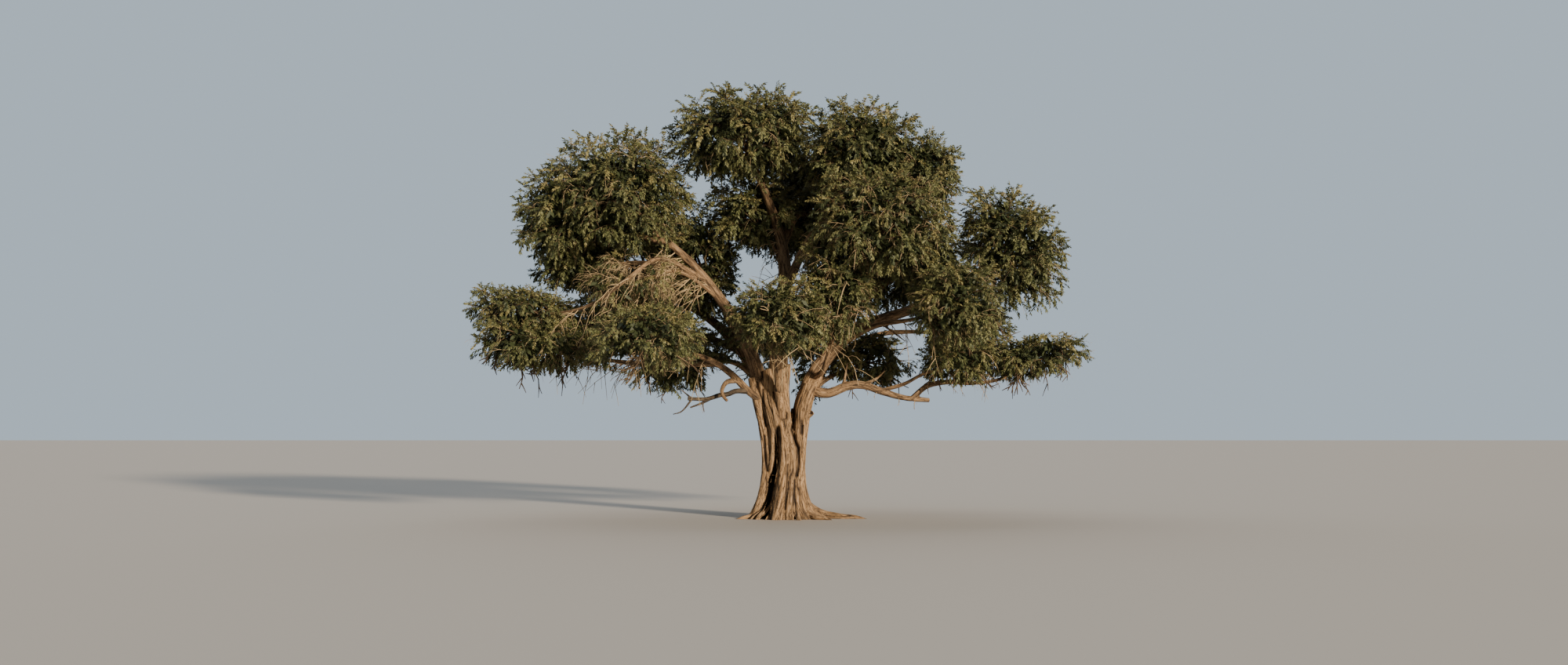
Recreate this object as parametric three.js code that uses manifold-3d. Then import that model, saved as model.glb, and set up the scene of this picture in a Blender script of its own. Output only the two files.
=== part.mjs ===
// A mature ghaf tree, as a three.js scene graph in millimetres, +Z up.
// The origin is the centre of the flat cut under the trunk. +X is to the right and +Y away from the front.
// The trunk is a bundle of stems that have grown together. Each leaves it above the fork as a bough,
// the boughs divide, and each bough ends in a mass of foliage that grows by one seeded rule.
import * as THREE from "three";
import { mergeVertices } from "three/addons/utils/BufferGeometryUtils.js";
import Module from "manifold-3d";

const wasm = await Module();
wasm.setup();
const { Manifold, Mesh } = wasm;

// Driving dimensions, in millimetres. A SHARE is a part of the whole that its name says.
const METRE = 1000;
const JOINT_GAP = 0.3;
const FORK_CLEARANCE = 30;
const RING_SPACING = 620;
const SPUR_SPACING = 200;
const STEM_SIDES = 7;
const LIMB_SIDES = 6;
const HEARTWOOD_GIRTH = [330, 270];
const HEARTWOOD_TOP = 1950;
const HEARTWOOD_BACK = 30;
const ROOT_COUNT = 9;
const ROOT_GIRTH = [150, 50];
const ROOT_REACH = [620, 800];
const ROOT_RISE = 760;
const SURFACE_ROOT_GIRTH = [120, 35];
const SURFACE_ROOTS = [{ reach: 1650, bearing: -8 }, { reach: 1180, bearing: -38 }];
const BUTTRESS_COURSE = [[0.36, 1], [0.52, 0.4], [0.78, 0.08]];
const SURFACE_COURSE = [[0.2, 0.3], [0.45, 0.1], [0.75, 0]];
const TWIG_GIRTH = [46, 32];
const TWIG_ROOT_SHARE = [0.4, 1];
const TWIG_TEST_SHARES = [0.6, 0.8, 1];
const TWIGS_A_SQUARE_METRE = 0.176;
const FEWEST_TWIGS = 4;
const TWIG_LEAVES = 4;
const NEARLY_UPRIGHT = 0.9;
const LEAF_STEP_SHARE = 0.035;
const LEAF_REACH_SHARE = 0.8;
const LEANS = [0.7, 0.5, 0.35, 0.2, 0.1, 0, -0.15, -0.3];
const SHORT_LEAF_SHARE = 0.72;
const LEAF_WIDTH_SHARE = 0.55;
const LEAF_THICKNESS = 26;
const LEAF_SUNK = 10;
const CORE_SHARE = 0.64;
const CORE_LUMP_SHARE = 0.12;
const TWIG_SHARE = 0.84;
const ENTRY_SHARE = 0.82;
const NEIGHBOUR_SHARE = 0.05;
const NEAR_SHARE = 1.1;
const LIMB_CLEARANCE = 40;
const LEAF_CLEARANCE = 130;
const EDGE_ROOT_POINTS = 6;
const BELOW_GROUND = 300;
const CUT_WIDTH = 5000;
const ROOT_SINK = 60;
const ROOT_SCATTER = 0.5;
const HEART_DROP_SHARE = 0.2;
const LEAF_LENGTH = [700, 1300];
const OPEN_SHARE = 0.72;
const SHARE_STEP = 0.02;
const WIDEST_SHARE = 1.2;
const SQUARENESS = 2.6;
const EDGE_STEP = 1 / 6;
const SAMPLES = 80;
const GOLDEN_ANGLE = Math.PI * (3 - Math.sqrt(5));
const UP = new THREE.Vector3(0, 1, 0);
const SKYWARD = new THREE.Vector3(0, 0, 1);
const EAST = new THREE.Vector3(1, 0, 0);

// The limbs, with the masses that they carry. Places and reaches are in metres, and girth is in millimetres.
// A limb of the trunk starts at the ground. Another starts on the limb that it grows from, at a share of it.
// through names a few places on its way, and girth gives its radius at its start and at its end.
// A mass is a rounded space with a middle and three reaches. One that slopes has a tilt, its rise to the
// right in each metre. A dense one has a core, and a thin one hangs.
const LIMBS = {
  upper_left: {
    from: "trunk", girth: [225, 40],
    through: [[-0.22, -0.02, 0], [-0.19, -0.02, 0.93], [-0.36, 0, 2.16], [-0.66, 0, 3.25],
      [-1.13, -0.05, 4.1], [-1.6, -0.1, 4.75], [-2.1, -0.15, 5.25]],
    mass: { middle: [-3.25, -0.2, 6.35], reach: [1.5, 1.9, 1.3], dense: true },
  },
  top_centre: {
    from: "trunk", girth: [285, 50],
    through: [[-0.02, 0, 0], [-0.04, 0, 0.93], [-0.12, 0, 2.6], [-0.08, 0.05, 3.55], [0.02, 0.2, 4.75],
      [-0.1, 0.5, 5.7]],
    mass: { middle: [-0.78, 0, 7.6], reach: [1.6, 1.9, 0.92], tilt: 0.06, dense: true },
  },
  right_upper: {
    from: "trunk", girth: [240, 36],
    through: [[0.22, 0, 0], [0.2, 0, 0.93], [0.35, 0, 2.16], [0.57, 0, 2.75], [0.88, 0, 3.2],
      [1.4, 0.03, 3.7], [1.95, 0.12, 3.92], [2.6, 0.3, 4.15]],
    mass: { middle: [4.58, 0.2, 5.37], reach: [1.06, 1.55, 1.26], tilt: -0.35, dense: true },
  },
  front_low: {
    from: "trunk", girth: [190, 32],
    through: [[0.02, -0.2, 0], [0, -0.2, 0.93], [-0.04, -0.22, 1.9], [-0.1, -0.5, 2.65],
      [-0.1, -1.05, 3.2]],
    mass: { middle: [-0.05, -1.8, 3.88], reach: [1.05, 1.1, 0.76], dense: true },
  },
  back_left: {
    from: "trunk", girth: [220, 42],
    through: [[-0.14, 0.2, 0], [-0.12, 0.2, 0.93], [-0.22, 0.27, 2.1], [-0.7, 0.9, 3.1],
      [-1.5, 1.8, 4]],
    mass: { middle: [-3, 3.1, 5.2], reach: [1.7, 1.7, 1.5], dense: true },
  },
  back_right: {
    from: "trunk", girth: [220, 42],
    through: [[0.16, 0.22, 0], [0.16, 0.22, 0.93], [0.36, 0.32, 2.15], [0.82, 0.95, 3.1],
      [1.3, 1.8, 4.1]],
    mass: { middle: [2.6, 3.1, 5.4], reach: [1.7, 1.7, 1.15], dense: true },
  },
  left_low: {
    from: "upper_left", at: 0.34, girth: [84, 30],
    through: [[-0.72, -0.22, 2.5], [-0.92, -0.35, 2.71], [-1.12, -0.5, 2.88], [-1.5, -1.1, 3.08]],
    mass: { middle: [-2.5, -2.4, 3.4], reach: [1.08, 1.35, 0.64], dense: true },
  },
  left_low_outer: {
    from: "left_low", at: 0.4, girth: [60, 26],
    through: [[-2, -0.75, 2.98], [-3, -0.6, 3.02], [-3.8, -0.5, 3.12]],
    mass: { middle: [-4.8, -0.5, 3.38], reach: [1.44, 1.4, 0.53], tilt: -0.08, dense: true },
  },
  left_outer: {
    from: "upper_left", at: 0.7, girth: [70, 30],
    through: [[-2.7, 0.4, 5.05], [-3.2, 0.6, 5.08]],
    mass: { middle: [-4.1, 0.8, 5.12], reach: [1.1, 1.35, 0.66], dense: true },
  },
  left_tip: {
    from: "upper_left", at: 0.7, girth: [54, 24],
    through: [[-2.4, -0.85, 5], [-2.95, -1.45, 4.55], [-3.7, -1.1, 4.08]],
    mass: { middle: [-5.12, 0, 4.05], reach: [1.2, 1.4, 0.54], tilt: -0.12, dense: true },
  },
  left_hanging: {
    from: "upper_left", at: 0.64, girth: [46, 20],
    through: [[-2.1, -0.45, 4.8]],
    mass: { middle: [-2.95, -0.8, 4.6], reach: [1.12, 0.8, 0.6] },
  },
  centre_left: {
    from: "back_left", at: 0.5, girth: [85, 30],
    through: [[-1.25, 1.35, 4.2]],
    mass: { middle: [-1.72, 1.4, 5.3], reach: [0.84, 1.2, 1.24], dense: true },
  },
  low_centre_left: {
    from: "back_left", at: 0.4, girth: [75, 26],
    through: [[-1.05, 0.95, 3.1]],
    mass: { middle: [-2.25, 0.9, 3.2], reach: [1.15, 1.1, 0.72], dense: true },
  },
  back_low_left: {
    from: "back_left", at: 0.55, girth: [85, 30],
    through: [[-2, 1.95, 3.75]],
    mass: { middle: [-3.6, 2.5, 3.85], reach: [1.4, 1.6, 0.85], dense: true },
  },
  back_low: {
    from: "back_left", at: 0.45, girth: [80, 28],
    through: [[-0.7, 2, 3.65], [-0.3, 2.9, 3.85]],
    mass: { middle: [0, 3.9, 3.95], reach: [1.6, 1.25, 0.68], dense: true },
  },
  low_centre_right: {
    from: "back_right", at: 0.39, girth: [70, 26],
    through: [[0.95, 0.75, 2.8]],
    mass: { middle: [1.75, 0.95, 3.2], reach: [1.02, 1.1, 0.58], dense: true },
  },
  back_low_right: {
    from: "back_right", at: 0.5, girth: [80, 28],
    through: [[1.9, 1.9, 3.7], [2.8, 2.2, 3.8]],
    mass: { middle: [3.95, 2.5, 3.85], reach: [0.95, 1.5, 0.82], dense: true },
  },
  back_top: {
    from: "top_centre", at: 0.72, girth: [90, 34],
    through: [[0.25, 1.1, 6.1]],
    mass: { middle: [0.75, 2.5, 6.6], reach: [1.5, 1.65, 1.6], dense: true },
  },
  top_right: {
    from: "top_centre", at: 0.6, girth: [100, 38],
    through: [[0.5, 0, 5.5], [1, -0.1, 6.25]],
    mass: { middle: [1.5, -0.1, 7.22], reach: [1.26, 1.9, 1.03], dense: true },
  },
  centre_right: {
    from: "right_upper", at: 0.42, girth: [85, 34],
    through: [[1.15, -0.5, 3.95], [1.4, -0.9, 4.6]],
    mass: { middle: [1.85, -1.5, 5.7], reach: [1.42, 1.4, 1.12], dense: true },
  },
  right_middle: {
    from: "right_upper", at: 0.49, girth: [66, 26],
    through: [[1.76, -0.6, 3.72], [2.4, -1.2, 3.8]],
    mass: { middle: [3.2, -1.7, 4.15], reach: [0.9, 1.3, 0.92], dense: true },
  },
  right_low: {
    from: "right_upper", at: 0.362, girth: [112, 44],
    through: [[0.85, -0.1, 2.44], [1.22, -0.16, 2.57], [1.5, -0.18, 2.6], [1.95, -0.17, 2.46],
      [2.35, -0.16, 2.35], [2.85, -0.15, 2.3]],
  },
  right_low_outer: {
    from: "right_low", at: 0.86, girth: [60, 26],
    through: [[2.79, -0.1, 2.57], [3.2, -0.08, 2.66], [3.7, -0.05, 2.64], [4.25, 0, 2.72]],
    mass: { middle: [4.96, 0, 3.2], reach: [1.14, 1.25, 0.44], tilt: 0.16, dense: true },
  },
  dead: {
    from: "left_low", at: 0.125, girth: [58, 34],
    through: [[-0.95, -0.38, 2.47], [-1.09, -0.42, 2.41], [-1.22, -0.45, 2.4], [-1.48, -0.5, 2.32],
      [-1.86, -0.56, 2.32]],
  },
  upper_left_outer: {
    from: "upper_left", at: 0.82, girth: [58, 28],
    through: [[-3.4, -0.3, 5.7]],
    mass: { middle: [-4.38, -0.15, 6.02], reach: [0.92, 1.5, 1.08], tilt: 0.25, dense: true },
  },
  centre: {
    from: "top_centre", at: 0.64, girth: [75, 30],
    through: [[-0.2, 0.7, 5.45]],
    mass: { middle: [-0.6, 1, 6.18], reach: [1.04, 1.25, 0.84], dense: true },
  },
  centre_front: {
    from: "right_upper", at: 0.39, girth: [62, 26],
    through: [[0.78, -0.5, 2.92]],
    mass: { middle: [0.98, -1.2, 4.42], reach: [0.82, 0.85, 1.26], dense: true },
  },
  top_right_outer: {
    from: "top_right", at: 0.72, girth: [62, 28],
    through: [[2.1, 0, 6.5]],
    mass: { middle: [2.72, 0, 6.78], reach: [0.84, 1.5, 0.88], dense: true },
  },
  right_low_middle: {
    from: "right_low", at: 0.6, girth: [46, 22],
    through: [[2.35, -0.35, 2.62], [2.7, -0.45, 2.8]],
    mass: { middle: [3.42, -0.45, 3.08], reach: [0.85, 1.05, 0.46], dense: true },
  },
};

// Bare spurs and forks that are one with the limb that they stand on, as limbs of their own kind.
const SPURS = [
  { on: "left_low", at: 0.22, girth: [60, 30],
    through: [[-1.13, -0.62, 2.62], [-1.2, -0.68, 2.43], [-1.09, -0.66, 2.27]] },
  { on: "right_low", at: 0.3, girth: [36, 16], through: [[1.24, -0.2, 3.05]] },
  { on: "right_low", at: 0.45, girth: [40, 14], through: [[1.8, -0.3, 2.72], [1.98, -0.32, 2.88]] },
  { on: "right_upper", at: 0.5, girth: [36, 16], through: [[1.62, -0.1, 4.3]] },
  { on: "right_middle", at: 0.42, girth: [30, 12], through: [[2.3, -1.1, 3.4]] },
  { on: "dead", at: 0.93, girth: [24, 10], through: [[-1.99, -0.58, 2.5]] },
  { on: "dead", at: 0.93, girth: [24, 10], through: [[-1.98, -0.6, 2.07], [-2.14, -0.62, 2.02]] },
  { on: "dead", at: 0.6, girth: [30, 18], through: [[-1.58, -0.52, 2.24], [-1.81, -0.56, 2.15]] },
  { on: "dead", at: 0.64, girth: [20, 10], through: [[-1.56, -0.52, 2.24], [-1.54, -0.54, 2.06]] },
];

const BARK = { color: 0x8a6a48, roughness: 0.92, metalness: 0 };
const DEAD_WOOD = { color: 0xa89478, roughness: 0.9, metalness: 0 };
const DENSE_LEAF = { color: 0x55502e, roughness: 0.72, metalness: 0 };
const THIN_LEAF = { color: 0x6f6440, roughness: 0.75, metalness: 0 };

const mix = THREE.MathUtils.lerp;
const place = (spot) => new THREE.Vector3(...spot).multiplyScalar(METRE);

// A steady random share from 0 to 1 for a seed and a count.
function chance(seed, count) {
  let mixed = Math.imul(seed + 1, 0x9e3779b1) ^ Math.imul(count + 1, 0x85ebca77);
  mixed = Math.imul(mixed ^ (mixed >>> 15), 0x2c1b3c6d);
  mixed = Math.imul(mixed ^ (mixed >>> 12), 0x297a2d39);
  return ((mixed ^ (mixed >>> 15)) >>> 0) / 2 ** 32;
}

// Closed geometry becomes a solid once its shared corners are merged.
function bare(geometry) {
  geometry.deleteAttribute("normal");
  geometry.deleteAttribute("uv");
  return mergeVertices(geometry);
}

function solidOf(geometry) {
  return new Manifold(new Mesh({
    numProp: 3,
    vertProperties: geometry.attributes.position.array,
    triVerts: new Uint32Array(geometry.index.array),
  }));
}

// Joining seals a hollow or frees a scrap now and then. The largest body is kept, with its hollows filled.
function largest(solid) {
  return solid.decompose().reduce((best, next) => (next.volume() > best.volume() ? next : best));
}

function fuse(solids) {
  return largest(solids.reduce((whole, next) => whole.add(next)));
}

// A solid becomes a named mesh with its finish.
function meshOf(name, solid, finish) {
  const { vertProperties, triVerts } = solid.getMesh();
  const geometry = new THREE.BufferGeometry();
  geometry.setAttribute("position", new THREE.BufferAttribute(vertProperties, 3));
  geometry.setIndex(new THREE.BufferAttribute(triVerts, 1));
  geometry.computeVertexNormals();
  const mesh = new THREE.Mesh(geometry, new THREE.MeshStandardMaterial(finish));
  mesh.name = name;
  return mesh;
}

// A straight tapering stick between two points.
function stick(start, end, girth, sides) {
  const along = end.clone().sub(start);
  const shape = bare(new THREE.CylinderGeometry(girth[1], girth[0], along.length(), sides));
  shape.applyQuaternion(new THREE.Quaternion().setFromUnitVectors(UP, along.normalize()));
  const middle = start.clone().lerp(end, 0.5);
  shape.translate(middle.x, middle.y, middle.z);
  return solidOf(shape);
}

// A limb, with its route and its girth at any share of the route.
class Limb {
  constructor(name, data, parent) {
    this.name = name;
    this.data = data;
    this.parent = parent;
    const places = data.through.map(place);
    if (parent) places.unshift(parent.spot(data.at));
    else if (!data.buried) places.unshift(place(data.through[0]).setZ(-BELOW_GROUND));
    if (data.mass) places.push(heartOf(data.mass));
    this.spacing = data.spacing ?? RING_SPACING;
    this.route = new THREE.CatmullRomCurve3(places, false, "centripetal");
    this.length = this.route.getLength();
    this.samples = Array.from({ length: SAMPLES + 1 }, (_, i) => {
      const share = i / SAMPLES;
      return { share, spot: this.spot(share), girth: this.girth(share) };
    });
  }

  spot(share) {
    return this.route.getPointAt(share);
  }

  girth(share) {
    return mix(this.data.girth[0], this.data.girth[1], share);
  }

  // How far a point lies outside the bark, up to a share of the route.
  distance(point, to = 1) {
    const near = this.samples.filter((sample) => sample.share <= to);
    return Math.min(...near.map((sample) => sample.spot.distanceTo(point) - sample.girth));
  }

  // The stretch of the limb between two shares, as a solid with flat ends.
  stretch(from, to, sides = LIMB_SIDES, swell = 0) {
    const rings = Math.max(1, Math.round(((to - from) * this.length) / this.spacing));
    const shape = bare(new THREE.CylinderGeometry(1, 1, 1, sides, rings));
    const corners = shape.getAttribute("position");
    const chord = this.spot(1).sub(this.spot(0));
    const across = new THREE.Vector3(-chord.y, chord.x, 0).normalize();
    for (let i = 0; i < corners.count; i += 1) {
      const share = mix(from, to, corners.getY(i) + 0.5);
      const along = this.route.getTangentAt(share);
      const side = new THREE.Vector3().crossVectors(along, across).normalize();
      const lift = new THREE.Vector3().crossVectors(side, along);
      const radius = this.girth(share) + swell;
      const corner = this.spot(share)
        .addScaledVector(side, corners.getX(i) * radius)
        .addScaledVector(lift, corners.getZ(i) * radius);
      corners.setXYZ(i, corner.x, corner.y, corner.z);
    }
    return solidOf(shape);
  }
}

// The stem of a mass ends a little under its middle.
function heartOf({ middle, reach }) {
  return place(middle).add(new THREE.Vector3(0, 0, -HEART_DROP_SHARE * reach[2] * METRE));
}

const limbs = new Map();
for (const [name, data] of Object.entries(LIMBS)) {
  limbs.set(name, new Limb(name, data, limbs.get(data.from)));
}
const allLimbs = [...limbs.values()];
const masses = allLimbs.filter((limb) => limb.data.mass).map((limb, seed) => {
  const { middle, reach, tilt = 0, dense } = limb.data.mass;
  return { limb, seed, dense, tilt, middle: place(middle), reach: place(reach) };
});

// How deep a point is in a mass's rounded space: 0 at its middle and 1 on its bounds.
// The space is a little squarer than an ellipsoid.
function depth(mass, point) {
  const away = point.clone().sub(mass.middle);
  away.z -= mass.tilt * away.x;
  const shares = away.divide(mass.reach).toArray();
  return shares.reduce((sum, share) => sum + Math.abs(share) ** SQUARENESS, 0) ** (1 / SQUARENESS);
}

// A point is a mass's own when it is inside its bounds and nearer to it than to any neighbour.
function owns(mass, point) {
  const own = depth(mass, point);
  return own <= 1 && masses.every((other) => other === mass || depth(other, point) > own + NEIGHBOUR_SHARE);
}

function within(mass, way, share) {
  const away = mass.reach.clone().multiply(way).multiplyScalar(share);
  away.z += mass.tilt * away.x;
  return away.add(mass.middle);
}

// The share of its reach that is a mass's own, along one way out of its middle.
function ownShare(mass, way) {
  let share = 0;
  while (share < WIDEST_SHARE && owns(mass, within(mass, way, share + SHARE_STEP))) share += SHARE_STEP;
  return share;
}

// Each limb is cut in three: its foot, which is one with what it grows from, its bough, and the stem in
// its mass. The foot ends where the limb stands clear of its parent and of the limbs beside it.
for (const limb of allLimbs) {
  const beside = allLimbs.filter((other) => other !== limb
    && (other === limb.parent || other.data.from === limb.data.from));
  const crowded = () => beside.some((other) => (
    other.distance(limb.spot(limb.foot)) < limb.girth(limb.foot) + FORK_CLEARANCE));
  limb.foot = SHARE_STEP;
  while (crowded()) limb.foot += SHARE_STEP / 4;
  limb.end = 1;
  const { mass } = limb.data;
  limb.mass = mass && masses.find((candidate) => candidate.limb === limb);
  while (mass && depth(limb.mass, limb.spot(limb.end)) < ENTRY_SHARE) limb.end -= SHARE_STEP / 4;
  limb.gap = JOINT_GAP / limb.length;
}

// The name of the piece that a limb's foot is one with.
function carrierOf(limb) {
  if (!limb.parent) return "trunk";
  return limb.data.at < limb.parent.foot ? carrierOf(limb.parent) : `bough_${limb.parent.name}`;
}

// One flattened leaf blade of eight faces. It stands for a spray, and it is thickest at its middle.
function leafBlade(base, way, face, size) {
  const along = way.clone().normalize();
  const across = new THREE.Vector3().crossVectors(face, along).normalize();
  const through = new THREE.Vector3().crossVectors(along, across);
  const middle = base.clone().addScaledVector(along, size / 2);
  const width = size * LEAF_WIDTH_SHARE;
  const shape = bare(new THREE.OctahedronGeometry(1));
  shape.applyMatrix4(new THREE.Matrix4()
    .makeBasis(along.clone().multiplyScalar(size / 2), across.clone().multiplyScalar(width / 2),
      through.multiplyScalar(LEAF_THICKNESS / 2))
    .setPosition(middle));
  const edge = [];
  for (let share = 0; share <= 1; share += EDGE_STEP) {
    const half = (width / 2) * (1 - Math.abs(2 * share - 1));
    const spine = base.clone().addScaledVector(along, share * size);
    const [left, right] = [half, -half].map((aside) => spine.clone().addScaledVector(across, aside));
    edge.push(spine, left, right);
  }
  return { shape, edge };
}

// A twig or leaf has room when all of it is in its mass's own space and it touches no limb.
function hasRoom(mass, points) {
  return points.every((point) => owns(mass, point) && allLimbs.every((limb) => (
    limb.distance(point, limb === mass.limb ? limb.end : 1) > LIMB_CLEARANCE)));
}

// The dense heart of a mass, lumpy and always inside the leaves.
function coreOf(mass) {
  const shape = bare(new THREE.IcosahedronGeometry(1, 1));
  const corners = shape.getAttribute("position");
  for (let i = 0; i < corners.count; i += 1) {
    const way = new THREE.Vector3().fromBufferAttribute(corners, i).normalize();
    const lump = CORE_SHARE - CORE_LUMP_SHARE * chance(mass.seed, i);
    const corner = within(mass, way, Math.min(lump, ownShare(mass, way) - NEIGHBOUR_SHARE));
    corners.setXYZ(i, corner.x, corner.y, corner.z);
  }
  return solidOf(shape);
}

// The same leaf leaning outward less and less, and then the same again for a shorter leaf.
function bladesToTry(base, aside, out, size) {
  return [1, SHORT_LEAF_SHARE].flatMap((share) => LEANS.map((lean) => {
    const way = aside.clone().addScaledVector(out, lean).normalize();
    const face = out.clone().addScaledVector(aside, -lean);
    return leafBlade(base.clone().addScaledVector(way, -LEAF_SUNK), way, face, share * size);
  }));
}

// Twigs leave the stem on a golden spiral of ways, wherever the mass is open to the air.
// Each twig has leaves all round it near its end, and each leaf leans out as far as the space lets it.
function foliageOf(mass) {
  const { limb, seed, dense, reach } = mass;
  const solids = [limb.stretch(limb.end + limb.gap, 1)];
  if (dense) solids.push(coreOf(mass));
  const taken = [];
  const mean = Math.cbrt(reach.x * reach.y * reach.z);
  const size = THREE.MathUtils.clamp(LEAF_REACH_SHARE * mean, ...LEAF_LENGTH);
  const area = 4 * Math.PI * (mean / METRE) ** 2;
  const branches = Math.max(FEWEST_TWIGS, Math.round(TWIGS_A_SQUARE_METRE * area));
  for (let branch = 0; branch < branches; branch += 1) {
    const height = 1 - (2 * (branch + 0.5)) / branches;
    const bearing = branch * GOLDEN_ANGLE + seed;
    const level = Math.sqrt(1 - height * height);
    const way = new THREE.Vector3(level * Math.cos(bearing), level * Math.sin(bearing), height);
    const open = ownShare(mass, way);
    const rootShare = mix(...TWIG_ROOT_SHARE, chance(seed, branch + branches));
    const root = limb.spot(mix(limb.end, 1, rootShare));
    const tip = within(mass, way, open * TWIG_SHARE);
    const tested = TWIG_TEST_SHARES.map((share) => root.clone().lerp(tip, share));
    if (open < OPEN_SHARE || !hasRoom(mass, tested)) continue;
    solids.push(stick(root, tip, TWIG_GIRTH, 3));
    const out = tip.clone().sub(mass.middle).normalize();
    const turn = 2 * Math.PI * chance(seed, branch);
    const aid = Math.abs(out.z) > NEARLY_UPRIGHT ? EAST : SKYWARD;
    const flat = new THREE.Vector3().crossVectors(out, aid).normalize();
    for (let leaf = 0; leaf < TWIG_LEAVES; leaf += 1) {
      const aside = flat.clone().applyAxisAngle(out, turn + GOLDEN_ANGLE * leaf);
      const base = within(mass, way, open * (TWIG_SHARE - LEAF_STEP_SHARE * (leaf + 0.5)));
      const apart = (point) => taken.every((spot) => spot.distanceTo(point) > LEAF_CLEARANCE);
      const fits = bladesToTry(base, aside, out, size).find((blade) => (
        hasRoom(mass, blade.edge) && blade.edge.slice(EDGE_ROOT_POINTS).every(apart)));
      if (fits) {
        solids.push(solidOf(fits.shape));
        taken.push(...fits.edge.slice(EDGE_ROOT_POINTS));
      }
    }
  }
  return solids;
}

// The tree stands on a flat cut at ground level.
function flatCut(solid) {
  const ground = bare(new THREE.BoxGeometry(CUT_WIDTH, CUT_WIDTH, METRE));
  ground.translate(0, 0, -METRE / 2);
  return largest(solid.subtract(solidOf(ground)));
}

// Every limb that passes through a mass is kept clear of it, and so is the mass's own bough.
function clearOfLimbs(mass, solid) {
  let cleared = solid;
  for (const limb of allLimbs) {
    const last = limb === mass.limb ? limb.end : 1;
    const near = limb.samples.filter((sample) => (
      sample.share <= last && depth(mass, sample.spot) < NEAR_SHARE));
    if (!near.length) continue;
    const from = Math.max(0, near[0].share - 1 / SAMPLES);
    const to = limb === mass.limb ? last + limb.gap / 2 : Math.min(1, near.at(-1).share + 1 / SAMPLES);
    cleared = cleared.subtract(limb.stretch(from, to, STEM_SIDES, LIMB_CLEARANCE));
  }
  return largest(cleared);
}

// The buttress roots all round the trunk, and the long ones that run out along the ground.
// A course gives shares of the root's reach and of its rise. Its tip sinks under the flat cut.
function rootSolids() {
  const grow = (bearing, girth, reach, course) => {
    const places = course.map(([out, high]) => [out * reach, high * ROOT_RISE]);
    places.push([reach, -ROOT_SINK]);
    const through = places.map(([out, high]) => [
      (out * Math.cos(bearing)) / METRE, (out * Math.sin(bearing)) / METRE, high / METRE]);
    return new Limb("root", { girth, through, buried: true }).stretch(0, 1);
  };
  const buttresses = Array.from({ length: ROOT_COUNT }, (_, i) => {
    const bearing = (2 * Math.PI * (i + ROOT_SCATTER * chance(ROOT_COUNT, i))) / ROOT_COUNT;
    const reach = mix(...ROOT_REACH, chance(ROOT_COUNT, i + ROOT_COUNT));
    return grow(bearing, ROOT_GIRTH, reach, BUTTRESS_COURSE);
  });
  const surface = SURFACE_ROOTS.map(({ reach, bearing }) => (
    grow(THREE.MathUtils.degToRad(bearing), SURFACE_ROOT_GIRTH, reach, SURFACE_COURSE)));
  return [...buttresses, ...surface];
}

// Each piece starts as a list of solids that are one with each other.
// Heartwood fills the trunk between its stems.
const pieces = new Map([["trunk", []]]);
for (const limb of allLimbs) {
  const sides = limb.parent ? LIMB_SIDES : STEM_SIDES;
  pieces.get(carrierOf(limb)).push(limb.stretch(0, limb.foot, sides));
  pieces.set(`bough_${limb.name}`, [limb.stretch(limb.foot + limb.gap, limb.end, sides)]);
}
for (const { on, ...data } of SPURS) {
  const spur = new Limb("spur", { ...data, spacing: SPUR_SPACING }, limbs.get(on));
  pieces.get(`bough_${on}`).push(spur.stretch(0, 1));
}
const heartwoodFoot = new THREE.Vector3(0, HEARTWOOD_BACK, -BELOW_GROUND);
const heartwoodHead = new THREE.Vector3(0, HEARTWOOD_BACK, HEARTWOOD_TOP);
pieces.get("trunk").push(stick(heartwoodFoot, heartwoodHead, HEARTWOOD_GIRTH, STEM_SIDES), ...rootSolids());

const tree = new THREE.Group();
for (const [name, solids] of pieces) {
  const solid = fuse(solids);
  const finish = name === "bough_dead" ? DEAD_WOOD : BARK;
  tree.add(meshOf(name, name === "trunk" ? flatCut(solid) : solid, finish));
}
for (const mass of masses) {
  const solid = clearOfLimbs(mass, fuse(foliageOf(mass)));
  tree.add(meshOf(`foliage_${mass.limb.name}`, solid, mass.dense ? DENSE_LEAF : THIN_LEAF));
}

export default tree;
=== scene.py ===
import math

import bpy
import numpy as np
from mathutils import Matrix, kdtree, noise


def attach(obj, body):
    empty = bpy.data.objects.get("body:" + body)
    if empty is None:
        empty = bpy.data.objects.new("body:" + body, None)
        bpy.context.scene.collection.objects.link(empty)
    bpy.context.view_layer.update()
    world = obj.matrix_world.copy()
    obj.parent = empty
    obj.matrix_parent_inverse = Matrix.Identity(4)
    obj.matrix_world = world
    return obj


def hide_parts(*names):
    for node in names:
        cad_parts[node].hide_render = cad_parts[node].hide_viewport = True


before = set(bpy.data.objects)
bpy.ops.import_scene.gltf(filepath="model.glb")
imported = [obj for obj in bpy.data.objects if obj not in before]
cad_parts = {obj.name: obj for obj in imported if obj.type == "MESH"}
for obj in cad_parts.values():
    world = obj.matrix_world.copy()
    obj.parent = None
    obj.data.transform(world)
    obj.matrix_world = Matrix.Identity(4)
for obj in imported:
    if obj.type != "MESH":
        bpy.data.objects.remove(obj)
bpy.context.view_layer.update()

# The trunk: a bundle of stems that have grown together, with deep folds between them and roots that flare
# out at the ground. It is green wood under thick dry bark, and its stems are fused as one skin.

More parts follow.
